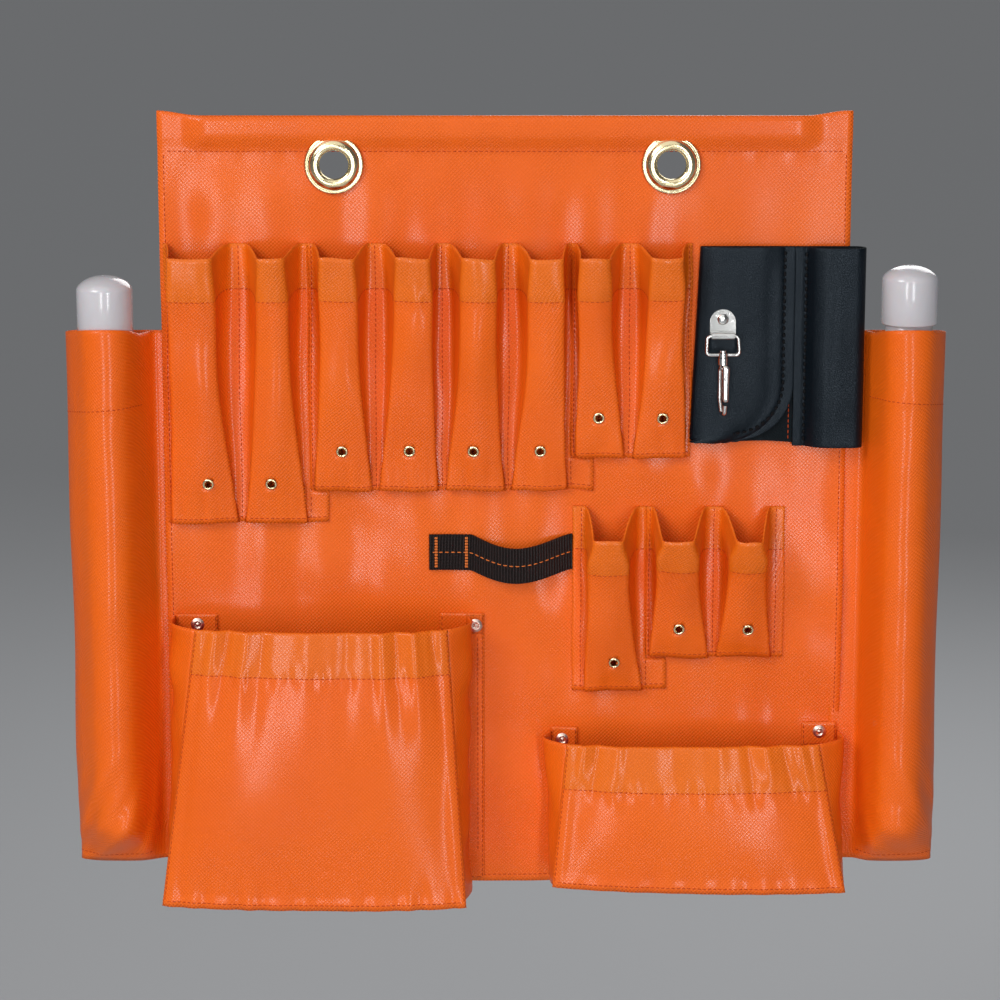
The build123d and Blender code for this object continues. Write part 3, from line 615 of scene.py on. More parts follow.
def webbing_material(name, colour):
    """Ribbed nylon webbing: cross ribs with painted highlight on their crests, lengthwise yarns and a soft
    sheen.
    """
    material, tree, shader = blank_material(name, Specular_IOR_Level=0.3)
    uv = tree.nodes.new("ShaderNodeUVMap")
    uv.uv_map = UV_NAME
    split = tree.nodes.new("ShaderNodeSeparateXYZ")
    link(tree, uv.outputs[0], split.inputs[0])
    rib = maths(tree, "SINE", product(tree, split.outputs[0], 2 * math.pi / 0.0021))
    yarn = maths(tree, "SINE", product(tree, split.outputs[1], 2 * math.pi / 0.0011))
    handling = placed(tree, handling_group(), Vector=position(tree), Size=3.0)
    # Painted highlight: pale is the lighter tone painted on the rib crests.
    pale = tuple(c * 3.0 + 0.012 for c in colour[:3]) + (1,)
    tone = blend_colour(tree, ramp(tree, rib, 0.1, 1.1), colour, pale)
    tone = blend_colour(tree, product(tree, handling.outputs["Dust"], 0.25), tone, (0.2, 0.16, 0.13, 1))
    link(tree, tone, shader.inputs["Base Color"])
    link(tree, total(tree, 0.5, product(tree, handling.outputs["Scuffs"], 0.2)),
         shader.inputs["Roughness"])
    bump(tree, shader, total(tree, rib, product(tree, yarn, 0.5)), 0.0005)
    return material


def once(key, make, *values):
    """One shared copy of each material."""
    return bpy.data.materials.get(key) or make(key, *values)


def vinyl():
    look = bpy.context.scene.apron_cloth
    return once("orange_cloth", coated_cloth, look.colour[:], look.shade[:],
                look.weave_depth, 0.5, look.roughness)


def hem_vinyl():
    look = bpy.context.scene.apron_cloth
    return once("orange_hem", coated_cloth, look.hem_colour[:], look.hem_shade[:],
                look.weave_depth, 0.6, look.roughness)


def thread():
    return once("rust_thread", thread_material, bpy.context.scene.apron_cloth.thread_colour[:])


def brass():
    metal = bpy.context.scene.apron_hardware
    return once("polished_brass", metal_material, metal.brass[:], (0.8, 0.64, 0.34, 1), 0.2)


def copper():
    metal = bpy.context.scene.apron_hardware
    return once("pink_copper", metal_material, metal.copper[:], (0.75, 0.52, 0.44, 1), 0.32)


def nickel():
    metal = bpy.context.scene.apron_hardware
    return once("bright_nickel", metal_material, metal.nickel[:], (0.66, 0.66, 0.64, 1), 0.14)


def black_leather():
    look = bpy.context.scene.apron_leather
    return once("black_leather_face", leather_material, look.face[:], look.roughness, 0.00012, False)


def leather_back():
    look = bpy.context.scene.apron_leather
    return once("black_leather_nap", leather_material, look.nap[:], 0.85, 0.0004, True)


def white_plastic():
    look = bpy.context.scene.apron_hardware
    return once("white_tube_plastic", plastic_material, look.plastic[:], 0.2, 0.00003)


def webbing():
    look = bpy.context.scene.apron_webbing
    return once("ribbed_webbing", webbing_material, look.colour[:])


def bright_thread():
    return once("orange_thread", thread_material, (0.85, 0.22, 0.05, 1))


def dark_thread():
    return once("black_thread", thread_material, (0.006, 0.006, 0.007, 1))


# ---------------------------------------------------------------- shared cloth shape


def mm(*values):
    """Millimetres as metres."""
    return tuple(v * MM for v in values)


def box_of(node):
    """A frame node's lowest and highest corners at rest, in metres."""
    low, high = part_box(node)
    return np.array(low), np.array(high)


PANEL_LOW, PANEL_HIGH = box_of("main_panel")
CLOTH = 1.2 * MM
# Stitch pitch, stitch length and thread radius.
CLOTH_THREAD = mm(3.6, 2.7, 0.34)
BLACK_THREAD = mm(4.6, 3.0, 0.95)
WEB_THREAD = mm(4.2, 3.0, 0.42)
TACK_THREAD = mm(1.9, 1.8, 0.65)


def panel_wave(x, z):
    """How far the hanging panel stands forward of flat, in metres."""
    soft = waves(x, z, 3, 0.13) * 2.0 + waves(x * 1.3, z * 0.6, 8, 0.06) * 1.1
    calm = (1 - 0.85 * smooth(0.1, 0.14, x) * smooth(-0.22, -0.18, z)) * (1 - 0.7 * smooth(-0.03, 0.01, z))
    return (soft * calm + 0.4 * calm) * MM


def strip_base(x, z):
    """Depth of cloth lying on the panel's face."""
    return -(1.75 * MM + panel_wave(x, z) + 0.5 * MM)


def panel_spot(x, z):
    """A point of flat cloth sewn to the panel, from its place in millimetres."""
    return np.array((x * MM, strip_base(x * MM, z * MM) - 0.3 * MM, z * MM))


# ---------------------------------------------------------------- main panel

GROMMET_CLEAR = 12.4 * MM
HEM_TOP_ROUND = 4.2 * MM
HEM_STITCH = 9.0 * MM
HEM_BARE = 1.6
HEM_FILLED = 3.4


def grommet_places():
    return [sum(box_of(f"grommet_{side}")) / 2 for side in ("left", "right")]


def hem_swell(x):
    """1 where the batten fills the hem, 0 at its open ends."""
    low, high = box_of("hem_batten")
    return smooth(low[0] - 12 * MM, low[0] + 4 * MM, x) * (1 - smooth(high[0] - 4 * MM, high[0] + 12 * MM, x))


def build_panel():
    """The hanging panel, with its top edge turned over the batten to the back."""
    left, right = PANEL_LOW[0], PANEL_HIGH[0]
    bottom, top = PANEL_LOW[2], PANEL_HIGH[2]
    look = bpy.context.scene.apron_panel
    across = spaced([left, *(p[0] for p in grommet_places()), right], look.step)
    front_rows = spaced([bottom, HEM_STITCH, top - HEM_TOP_ROUND], look.step)
    turn = np.linspace(0, math.pi, 9)[1:-1]
    back_rows = spaced([top - HEM_TOP_ROUND, HEM_STITCH - 4 * MM], look.step)
    x = across[None, :]
    swell = hem_swell(x)
    flare = 3.2 * MM * smooth(0.208, 0.236, np.abs(x))
    rows = []
    for z in front_rows:
        rise = smooth(HEM_STITCH, HEM_STITCH + 12 * MM, z)
        hem = rise * (HEM_BARE + HEM_FILLED * swell)
        depth = -(0.6 * MM + panel_wave(x, z) * smooth(0.02, -0.03, z) + hem * MM)
        pucker = waves(x * 3, x * 0 + z, 21, 0.03) * 0.35 * MM * hump(HEM_STITCH, 6 * MM, z)
        bow = 2.5 * MM * smooth(-0.2, bottom, z) * np.sin(x * 11)
        tall = z + flare * smooth(HEM_STITCH, top, z)
        rows.append((x, depth - pucker, tall + bow * 0.35))
    for angle in turn:
        thick = (HEM_BARE + HEM_FILLED * swell) * MM
        depth = -thick / 2 - 0.6 * MM - np.cos(angle) * thick / 2
        z = top - HEM_TOP_ROUND + np.sin(angle) * HEM_TOP_ROUND + flare
        rows.append((x, depth, z))
    for z in back_rows:
        drop = 1 - smooth(HEM_STITCH, HEM_STITCH + 12 * MM, z)
        depth = -0.6 * MM + drop * 1.0 * MM + 0 * x
        rows.append((x, depth, z + flare * smooth(HEM_STITCH, top, z)))
    grid = np.array([
        np.stack([np.broadcast_to(part, (1, x.size))[0] for part in row], axis=1) for row in rows
    ])
    centres = grommet_places()

    def hole(m):
        return any(math.hypot(m[0] - c[0], m[2] - c[2]) < GROMMET_CLEAR for c in centres)

    panel = cloth_piece("panel_cloth", grid, vinyl(), CLOTH, hole)
    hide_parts("main_panel")
    cols = grid.shape[1] - 1
    hem_row = int(np.argmin(np.abs(front_rows - HEM_STITCH)))
    low_row = int(np.argmin(np.abs(front_rows - (bottom + 7 * MM))))
    edge = 5 * MM / look.step
    lines = [
        grid_line(grid, (hem_row, 1.5), (hem_row, cols - 1.5), 200),
        grid_line(grid, (low_row, 1), (hem_row - 0.5, 1), 160),
        grid_line(grid, (low_row, cols - 1), (hem_row - 0.5, cols - 1), 160),
        grid_line(grid, (edge, 1), (edge, cols - 1), 160),
    ]
    sewn = stitch_rows("panel_stitches", lines)


def lifted(line, amount):
    """A line of (point, normal) moved outward along its normals."""
    return [(p + n * amount, n) for p, n in line]


def stitch_rows(name, lines, lift=CLOTH / 2):
    """Rows of the apron's rust thread on the face of the cloth that the lines run through."""
    return stitches(name, [lifted(line, lift) for line in lines], thread(), *CLOTH_THREAD)


# ---------------------------------------------------------------- tool pocket strips

STRIPS = {
    "top_strip_left": {
        "seams": (-233.5, -182.0, -134.0), "mouths": ((-229.5, -197.0), (-168.0, -147.5)),
        "eyelets": (-205.0, -161.0), "under": "top_strip_middle",
    },
    "top_strip_middle": {
        "seams": (-134.0, -88.0, -42.0, 4.0, 47.7),
        "mouths": ((-126.0, -100.0), (-74.0, -48.5), (-29.0, -4.0), (17.6, 42.4)),
        "eyelets": (-111.0, -64.5, -19.0, 26.0), "under": "top_strip_right",
    },
    "top_strip_right": {
        "seams": (47.7, 87.5, 130.5), "mouths": ((51.0, 74.0), (100.0, 124.0)),
        "eyelets": (66.0, 111.0), "under": None,
    },
    "lower_strip_left": {
        "seams": (55.0, 101.0), "mouths": ((58.5, 87.0),),
        "eyelets": (78.0,), "under": "lower_strip_right",
    },
    "lower_strip_right": {
        "seams": (101.0, 148.0, 191.5), "mouths": ((106.5, 136.0), (157.5, 183.5)),
        "eyelets": (123.5, 172.5), "under": None,
    },
}
MOUTH_DROP = {"top": 6.5, "lower": 17.0}
MOUTH_PINCH = {"top": 1.6, "lower": 4.5}
TUCK = 9.0
EYELET_RISE = {"top": 29.0, "lower": 22.0}
STRIP_HEM = {"top": 31.5, "lower": 30.5}
EYELET_CLEAR = 3.3 * MM
FOOT_SEAM = 3.5
EDGE_COLS, POCKET_COLS, TAIL_COLS = 3, 40, 4


def pleat_line(seam, mouth_edge, deep, share, side, seed, ear):
    """The (x, height) points of one pocket side at one level, from its seam to its front corner.

    share runs from 0 at the floor to 1 at the mouth; side is 1 where the pocket lies to the right."""
    draw = random.Random(seed)
    floor_x = seam + side * (2.2 + draw.uniform(-0.4, 0.6))
    drawn_in = 1 - (1 - share) ** 1.9
    pinch = draw.uniform(0.6, 2.2) * math.sin(math.pi * share) ** 2 + ear * float(smooth(0.82, 1.0, share))
    corner = (floor_x + (mouth_edge - floor_x) * drawn_in + side * pinch, 3.4 + (deep - 3.4) * share)
    tuck = TUCK * (1 - share) ** 1.2 + draw.uniform(0.0, 1.0)
    bulge = draw.uniform(-1.0, 2.0) * share
    reach = abs(corner[0] - seam)
    spread = 0.36 + 0.3 * math.sin(math.pi * share)
    foot = (seam + side * (0.6 + spread * reach * (0.3 + 0.7 * share) + tuck * 0.6), 0.3)
    wall = (corner[0] * 0.62 + foot[0] * 0.38 + side * (tuck * 0.6 + bulge * 0.5), corner[1] * 0.55 + 0.2)
    brow = (corner[0] * 0.95 + foot[0] * 0.05, corner[1] * 0.93)
    return [(seam, 0.0), (seam + (foot[0] - seam) * 0.55, 0.1), foot, wall, brow, corner]


def pocket_section(strip, deep, share, seed, ear):
    """(x, height) points right across a strip at one level, in millimetres."""
    seams, mouths = strip["seams"], strip["mouths"]
    marks = []
    for k, (left, right) in enumerate(zip(seams, seams[1:])):
        start = pleat_line(left, mouths[k][0], deep, share, 1, seed + 2 * k, ear)
        end = pleat_line(right, mouths[k][1], deep, share, -1, seed + 2 * k + 1, ear)
        middle = (start[-1][0] + end[-1][0]) / 2
        draw = random.Random(seed + 50 + k)
        bow = 1.0 + 2.4 * math.sin(math.pi * share) + 0.8 * share
        lean = draw.uniform(-0.35, 0.35)
        front = start[-1][1]
        peak = middle + lean * (end[-1][0] - start[-1][0]) / 2
        crown = [(start[-1][0] * 0.85 + peak * 0.15, front + bow * 0.3), (peak, front + bow)]
        crown.append((end[-1][0] * 0.85 + peak * 0.15, front + bow * 0.3))
        marks.append((start, crown, end[::-1]))
    return marks


def strip_grid(strip, bottom, top, deep, hem, left_edge, right_edge, step, seed, ear):
    """A strip's cloth as a grid in millimetres, the columns of its seams and its rows' heights."""
    seams = strip["seams"]
    rows = spaced([bottom, bottom + FOOT_SEAM, top - hem, top], step)
    grid = []
    for z in rows:
        share = (z - bottom) / (top - bottom)
        parts, seam_cols = [], [0]
        if left_edge is not None:
            parts.append(resampled([(left_edge, 0.0), (seams[0] - 0.05, 0.0)], EDGE_COLS + 1)[:-1])
            seam_cols = [EDGE_COLS]
        for start, crown, end in pocket_section(strip, deep, share, seed, ear):
            parts.append(resampled(rounded(start + crown + end), POCKET_COLS + 1)[:-1])
            seam_cols.append(seam_cols[-1] + POCKET_COLS)
        parts.append(np.array([(seams[-1], 0.0)]))
        if right_edge is not None:
            parts.append(resampled([(seams[-1], 0.0), (right_edge, 0.0)], TAIL_COLS + 1)[1:])
        grid.append([(x, h, z) for x, h in np.vstack(parts)])
    return np.array(grid), seam_cols, rows


def build_strip(name):
    """One strip of cloth folded and sewn into tool pockets; gives back the places of its eyelets."""
    strip = STRIPS[name]
    row = name.split("_")[0]
    low, high = box_of(name)
    look = bpy.context.scene.apron_pockets
    bottom, top = low[2] / MM, high[2] / MM
    deep = -low[1] / MM - 1.2
    left_edge = low[0] / MM if low[0] / MM < strip["seams"][0] - 2 else None
    right_edge = high[0] / MM if high[0] / MM > strip["seams"][-1] + 2 else None
    has_tail = right_edge is not None and strip["under"]
    seed = sum(map(ord, name))
    hem = STRIP_HEM[row]
    grid, seam_cols, rows = strip_grid(
        strip, bottom, top, deep, hem, left_edge, right_edge, look.step / MM, seed, MOUTH_PINCH[row]
    )
    x, h, z = grid[..., 0], grid[..., 1], grid[..., 2]
    share = (z - bottom) / (top - bottom)
    standing = smooth(0.5, 6.0, h)
    lip = 1.1 * waves(x * MM, z * 0, seed, 0.022) * smooth(4.0, deep, h)
    sag = MOUTH_DROP[row] * smooth(0.0, deep, h) * smooth(0.25, 1.0, share) + lip * smooth(0.72, 1.0, share)
    in_hem = smooth(top - hem - 1.0, top - hem + 1.2, z)
    pucker = 0.55 * waves(x * MM * 2.5, z * MM, seed + 1, 0.028) * hump(top - hem, 7.0, z) * standing
    ripple = look.slack / MM * waves(x * MM, z * MM * 0.45, seed + 2, 0.05) * standing * smooth(0, 0.2, share)
    lump = 0.7 * waves(x * MM * 2.2, z * MM * 0.6, seed + 3, 0.03) * hump(bottom, 22.0, z) * standing
    height = h + standing * (0.55 * in_hem) + pucker + ripple + lump
    depth = strip_base(x * MM, z * MM) - height * MM
    low_edge = 0.9 * waves(x * MM, z * 0, seed + 5, 0.045) * (1 - smooth(0, 0.12, share))
    tall = z - sag + low_edge
    shift = 0.5 * waves(z * MM, x * MM * 0.3, seed + 4, 0.09) * smooth(0, 0.15, share)
    shift = shift * (1 - smooth(0.85, 1, share))
    points = np.stack([(x + shift) * MM, depth, tall * MM], axis=2)
    if has_tail:
        tail_top = box_of(strip["under"])[0][2]
        past = x > strip["seams"][-1] + 0.5
        points[..., 2] = np.where(past, np.clip(points[..., 2], None, tail_top - 0.5 * MM), points[..., 2])
    eyelets = []
    for ex in strip["eyelets"]:
        ez = bottom + EYELET_RISE[row]
        r = int(np.argmin(np.abs(rows - ez)))
        c = int(np.argmin(np.abs(x[r] - ex) + np.where(h[r] < 2.5, 99, 0)))
        eyelets.append(grid_line(points, (r, c), (r, c), 2)[0])
    seam_x = (strip["seams"][-1] + 0.4) * MM

    def hole(m):
        if has_tail and m[0] > seam_x and m[2] > tail_top - 1.2 * MM:
            return True
        return any(math.dist(m, p) < EYELET_CLEAR for p, _ in eyelets)

    piece = cloth_piece(f"{name}_cloth", points, vinyl(), CLOTH * 0.9, hole)
    hem_faces(piece, points, rows, top - hem)
    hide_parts(name)
    hem_row = float(np.argmin(np.abs(rows - (top - hem))))
    foot_row = float(np.argmin(np.abs(rows - (bottom + FOOT_SEAM))))
    cols = grid.shape[1] - 1
    hem_end = (seam_cols[-1] if has_tail else cols) - 0.6
    lines = [grid_line(points, (hem_row, 0.6), (hem_row, hem_end), 60 * len(strip["mouths"]))]
    lines.append(grid_line(points, (foot_row, 0.4), (foot_row, cols - 0.4), 60 * len(strip["mouths"])))
    for c in seam_cols:
        if right_edge is None and c == seam_cols[-1]:
            c -= 0.9
        if left_edge is None and c == 0:
            c += 0.9
        seam = [(p, OUTWARD) for p, _ in grid_line(points, (0.5, c), (len(rows) - 1.2, c), 80)]
        if has_tail and c == seam_cols[-1]:
            seam = [(p, n) for p, n in seam if p[2] < tail_top - 2 * MM]
        lines.append(seam)
    sewn = stitch_rows(f"{name}_stitches", lines, CLOTH * 0.45)
    return eyelets


def hem_faces(piece, points, rows, hem_z):
    """Gives the turned hem its own slightly paler cloth."""
    piece.data.materials.append(hem_vinyl())
    cols = points.shape[1]
    first = int(np.argmin(np.abs(rows - hem_z)))
    for face in piece.data.polygons:
        if min(face.vertices) // cols >= first:
            face.material_index = 1


EYELET_SHAPE = (
    (2.5, 1.4), (2.4, -0.5), (2.65, -0.95), (3.2, -1.15), (3.75, -1.0), (4.1, -0.6), (4.3, 0.1),
    (4.1, 0.15), (3.0, 0.1), (2.9, 1.2), (3.3, 1.3), (3.2, 1.5),
)


def build_eyelets(name, node, places):
    """Rolled brass eyelets, each square to the cloth at its (point, normal) place."""
    tilted = []
    for point, normal in places:
        tilt = math.atan2(normal[2], -normal[1])
        tilted.append((point + normal * CLOTH * 0.5, -tilt))
    ring = lathe(name, [mm(*spot) for spot in EYELET_SHAPE], tilted, brass(), turns=28)
    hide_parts(node)


# ---------------------------------------------------------------- wide pouches

POUCHES = {
    "big_pouch": {
        "panel_x": (-231.0, -24.5), "top_front_x": (-212.0, -39.5), "bottom_front_x": (-237.0, -27.0),
        "folds": (
            (0.07, 3.0, 0.018), (0.13, -2.6, 0.016), (0.2, 2.2, 0.02), (0.27, -1.6, 0.02), (0.45, 1.0, 0.04),
            (0.6, -1.4, 0.03), (0.74, 2.2, 0.02), (0.8, -2.4, 0.018), (0.87, 3.0, 0.018), (0.94, -2.4, 0.014),
        ),
        "bow": 13.0,
        "tabs": ((-230.0, -201.0, -332.0, -316.5), (-44.0, -13.2, -331.0, -315.5)),
        "flange": (-25.5, -13.2, -511.5, -316.0),
        "lip": (0.0, 1.2), "hem": 29.0, "mouth_depth": 45.0,
    },
    "small_pouch": {
        "panel_x": (34.0, 238.0), "top_front_x": (46.0, 220.5), "bottom_front_x": (36.5, 239.5),
        "folds": (
            (0.06, 2.8, 0.016), (0.12, -2.2, 0.016), (0.2, 1.6, 0.02), (0.42, -0.9, 0.04), (0.6, 1.0, 0.03),
            (0.72, -2.0, 0.022), (0.79, 2.4, 0.02), (0.86, -1.8, 0.016), (0.93, 2.6, 0.016),
        ),
        "bow": 10.0,
        "tabs": ((34.5, 53.0, -418.0, -399.0), (212.5, 237.0, -413.0, -396.0)),
        "flange": None,
        "lip": (-2.4, 1.4), "hem": 30.0, "mouth_depth": 40.0,
    },
}
POUCH_WELT = 1.4
POUCH_FOOT_SEAM = 4.0
HEM_TURN = 24.0
HEM_RAISE = 0.5
HEM_ROLL = 1.5
HEM_ROLL_ROWS = 5
ELASTIC_HEIGHT = 15.0
ELASTIC_BACK = 1.25 * MM
FLANGE_STITCH_X = -17.6


def pouch_frame(name):
    """(left, right, depth) functions of height for a pouch's front, in millimetres."""
    low, high = box_of(f"{name}_front")
    bottom, top = low[2] / MM, high[2] / MM
    shape = POUCHES[name]
    lowest, highest = -low[1] / MM - 0.6, shape["mouth_depth"] - 0.6

    def at(z):
        share = (z - bottom) / (top - bottom)
        left = shape["bottom_front_x"][0] * (1 - share) + shape["top_front_x"][0] * share
        right = shape["bottom_front_x"][1] * (1 - share) + shape["top_front_x"][1] * share
        return left, right, lowest * (1 - share) + highest * share

    return at, bottom, top


def front_point(name, at, bottom, top, share_x, z, seed):
    """One point of a pouch's front cloth, in millimetres."""
    left, right, depth = at(min(max(z, bottom), top))
    share = (z - bottom) / (top - bottom)
    x = left + (right - left) * share_x
    shape = POUCHES[name]
    middle = np.sin(math.pi * np.clip(share_x, 0, 1))
    edge = smooth(0.0, 0.07, share_x) * smooth(0.0, 0.07, 1 - share_x)
    off_middle = abs(2 * share_x - 1)
    rounding = 1 - min(off_middle, 1.04) ** 3.2
    bow = shape["bow"] * rounding * (0.55 + 0.45 * math.sin(math.pi * min(max(share, 0), 1))) - 2.2
    gather = 0.0
    for centre, size, wide in shape["folds"]:
        lean = centre + (centre - 0.5) * 0.12 * (1 - share)
        run = float(smooth(0.45, 1.0, share)) ** 1.3
        gather = gather + size * hump(lean, wide * (2.0 - share), share_x) * run
    slack = 1.6 * waves(x * MM, z * MM * 0.55, seed, 0.11) * edge
    pucker = 0.6 * waves(x * MM * 3, z * MM, seed + 1, 0.03) * hump(top - shape["hem"], 9.0, z)
    foot = 0.7 * waves(x * MM * 2.4, z * MM * 0.5, seed + 2, 0.035) * hump(bottom, 16.0, z)
    roll = 1.3 * (hump(0.014, 0.016, share_x) + hump(0.986, 0.016, share_x))
    roll = roll + 1.2 * hump(bottom + 3.0, 4.0, z)
    out = depth + bow + (gather + slack) * (0.35 + 0.65 * edge) + pucker + foot + roll - 0.6
    lip = shape["lip"][0] * (1 - share_x) + shape["lip"][1] * share_x
    droop = lip * (1 - share) * -1.0 - 1.3 * middle * (1 - share)
    dip = -0.8 * middle * share
    return x, out, z + droop + dip


def build_pouch(name):
    """A gathered pouch: its front with the mouth turned inward, then its elastic and its gusset."""
    at, bottom, top = pouch_frame(name)
    shape = POUCHES[name]
    look = bpy.context.scene.apron_pouches
    seed = sum(map(ord, name))
    step = look.step / MM
    left, right, _ = at(bottom)
    span = right - left
    shares = spaced([-POUCH_WELT / span, 0.0, 1.0, 1 + POUCH_WELT / span], step / span)
    rows = spaced([bottom, bottom + POUCH_FOOT_SEAM, top - shape["hem"], top], step)
    grid = []
    for z in rows:
        in_hem = float(smooth(top - shape["hem"] - 1, top - shape["hem"] + 1.2, z))
        line = [front_point(name, at, bottom, top, s, z, seed) for s in shares]
        grid.append([(x, out + HEM_RAISE * in_hem, h) for x, out, h in line])
    mouth = [front_point(name, at, bottom, top, s, top, seed) for s in shares]
    for k in range(1, HEM_ROLL_ROWS + 1):
        angle = math.pi * k / (HEM_ROLL_ROWS + 1)
        back, up = HEM_ROLL * (1 - math.cos(angle)), HEM_ROLL * math.sin(angle)
        grid.append([(x, out + HEM_RAISE - back, h + up) for x, out, h in mouth])
    for z in spaced([top, top - HEM_TURN], step):
        line = [front_point(name, at, bottom, top, s, z, seed) for s in shares]
        grid.append([(x, out + HEM_RAISE - 2 * HEM_ROLL, h) for x, out, h in line])
    grid = np.array(grid)
    points = np.stack([grid[..., 0] * MM, -grid[..., 1] * MM, grid[..., 2] * MM], axis=2)
    front = cloth_piece(f"{name}_front_cloth", points, vinyl(), CLOTH)
    hem_faces(front, points, np.append(rows, np.full(len(grid) - len(rows), top)), top - shape["hem"])
    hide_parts(f"{name}_front")
    hem_row = float(np.argmin(np.abs(rows - (top - shape["hem"]))))
    foot_row = float(np.argmin(np.abs(rows - (bottom + POUCH_FOOT_SEAM))))
    cols = points.shape[1] - 1
    lines = [
        grid_line(points, (hem_row, 0.5), (hem_row, cols - 0.5), 160),
        grid_line(points, (foot_row, 1.5), (foot_row, cols - 1.5), 160),
        grid_line(points, (1, 1.0), (len(rows) - 1, 1.0), 120),
        grid_line(points, (1, cols - 1.0), (len(rows) - 1, cols - 1.0), 120),
    ]
    sewn = stitch_rows(f"{name}_front_stitches", lines)
    build_elastic(name, points, rows, top)
    build_gusset(name, at, bottom, top, seed)


def build_elastic(name, points, rows, top):
    """The band inside the mouth hem, midway between the hem's two layers."""
    inner = points[[k for k, z in enumerate(rows) if z > top - ELASTIC_HEIGHT]][:, 3:-3]
    inner[..., 1] += ELASTIC_BACK
    band = cloth_piece(f"{name}_elastic_band", inner, webbing(), 0.8 * MM)
    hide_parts(f"{name}_elastic")


def build_gusset(name, at, bottom, top, seed):
    """One strip down the left side, along the floor and up the right side, with its tabs and flange."""
    shape = POUCHES[name]
    step = bpy.context.scene.apron_pouches.step / MM
    sewn_left, sewn_right = shape["panel_x"]
    path = []
    for z in spaced([top + 2.0, bottom + 3.0], step):
        left, _, depth = at(z)
        path.append(((sewn_left, z), (left, z, depth)))
    left, right, depth = at(bottom)
    for s in spaced([0.015, 0.985], step / (right - left)):
        x = left + (right - left) * s
        sewn_x = sewn_left + (sewn_right - sewn_left) * s
        lip = shape["lip"][0] * (1 - s) + shape["lip"][1] * s
        path.append(((sewn_x, bottom + 1.0), (x, bottom + 0.8 - lip - 1.3 * math.sin(math.pi * s), depth)))
    for z in spaced([bottom + 3.0, top + 2.0], step):
        _, right, depth = at(z)
        path.append(((sewn_right, z), (right, z, depth)))
    across = np.linspace(0, 1, 15)
    centre_x = (sewn_left + sewn_right) / 2
    grid = []
    for (sewn_x, sewn_z), (front_x, front_z, depth) in path:
        line = []
        for s in across:
            x, z = sewn_x + (front_x - sewn_x) * s, sewn_z + (front_z - sewn_z) * s
            inward = np.array((centre_x - x, 0.0)) if abs(sewn_z - bottom) > 2 else np.array((0.0, 1.0))
            inward = inward / max(np.linalg.norm(inward), 1e-6)
            bend = math.sin(math.pi * min(1.0, s**1.25))
            height_share = (z - bottom) / (top - bottom)
            fold = -bend * (2.0 + 8.5 * max(0, height_share) ** 1.5)
            fold += bend * 1.3 * float(waves(s * 0.06, z * MM, seed + 7, 0.05))
            if inward[1] > 0.5:
                fold = -1.2 * bend
            line.append(((x + inward[0] * fold) * MM, -(1.9 + (depth - 2.4 - 1.9) * s) * MM,
                         (z + inward[1] * fold) * MM))
        grid.append(line)
    strip = np.array(grid)
    patches = []
    spots = [*shape["tabs"]] + ([shape["flange"]] if shape["flange"] else [])
    for x0, x1, z0, z1 in spots:
        xs, zs = spaced([x0, x1], step / 1.5), spaced([z0, z1], step / 1.5)
        patches.append(np.array([[panel_spot(x, z) for x in xs] for z in zs]))
    piece = cloth_piece(f"{name}_gusset_cloth", strip, vinyl(), CLOTH * 0.9, extra=patches)
    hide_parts(f"{name}_gusset")
    lines = []
    for patch in patches:
        r, c = patch.shape[0] - 1, patch.shape[1] - 1
        if c < 4:
            lines.append(grid_line(patch, (0.4, c / 2), (r - 0.4, c / 2), 90))
            continue
        lines.append(grid_line(patch, (0.6, 0.6), (0.6, c - 0.6), 20))
        lines.append(grid_line(patch, (0.6, 0.6), (r - 0.6, 0.6), 20))
        lines.append(grid_line(patch, (0.6, c - 0.6), (r - 0.6, c - 0.6), 20))
    if shape["flange"]:
        lines.append([(panel_spot(FLANGE_STITCH_X, z), OUTWARD) for z in spaced([-490.0, -333.0], 3.0)])
    sewn = stitch_rows(f"{name}_gusset_stitches", lines)


# ---------------------------------------------------------------- side pockets

SIDES = {
    "left": {"sign": -1, "rise": 243.0, "hem": (-170.0, -164.0)},
    "right": {"sign": 1, "rise": 251.5, "hem": (-166.0, -160.0)},
}
SIDE_FLAT_Z = -462.0
SIDE_SEAM_X = 231.5
MOUTH_TILT = 0.19
SIDE_COLS = 76


def side_section(side, z):
    """(x, forward) points round a side pocket at one level, from the front flange to the back one."""
    low, high = box_of(f"{side}_side_pocket")
    tube_low, tube_high = box_of(f"{side}_tube")
    sign = SIDES[side]["sign"]
    outer = max(abs(low[0]), abs(high[0])) / MM - 0.6
    centre = abs(tube_low[0] + tube_high[0]) / 2 / MM
    middle, radius = -(tube_low[1] + tube_high[1]) / 2 / MM, (tube_high[0] - tube_low[0]) / 2 / MM
    bottom, top = low[2] / MM, high[2] / MM
    full = float(smooth(bottom - 14, SIDE_FLAT_Z, z)) ** 1.2
    gape = 1.2 * float(smooth(top - 50, top, z))
    reach = (middle + radius + 1.9 + gape) * full
    rise = SIDES[side]["rise"]
    r = radius + 1.9 + gape
    points = [(SIDE_SEAM_X, -0.9), (238.5, -0.9), (rise - 1.5, -0.6), (rise + 1.0, 0.8 * full)]
    spread = 1.0 + 0.25 * (1 - full)
    for degrees in (-62, -40, -20, 0, 20, 40, 58):
        angle = math.radians(degrees)
        depth = (middle + r * math.cos(angle)) / (middle + r)
        points.append((centre + r * math.sin(angle) * spread, reach * depth))
    points += [(outer - 2.5, 0.30 * reach + 0.6), (outer, -0.4), (outer - 1.5, -1.9)]
    points += [(centre, -2.0), (rise, -2.1), (SIDE_SEAM_X, -2.2)]
    line = resampled(rounded(points, 2), SIDE_COLS)
    return np.stack([sign * line[:, 0], line[:, 1]], axis=1)


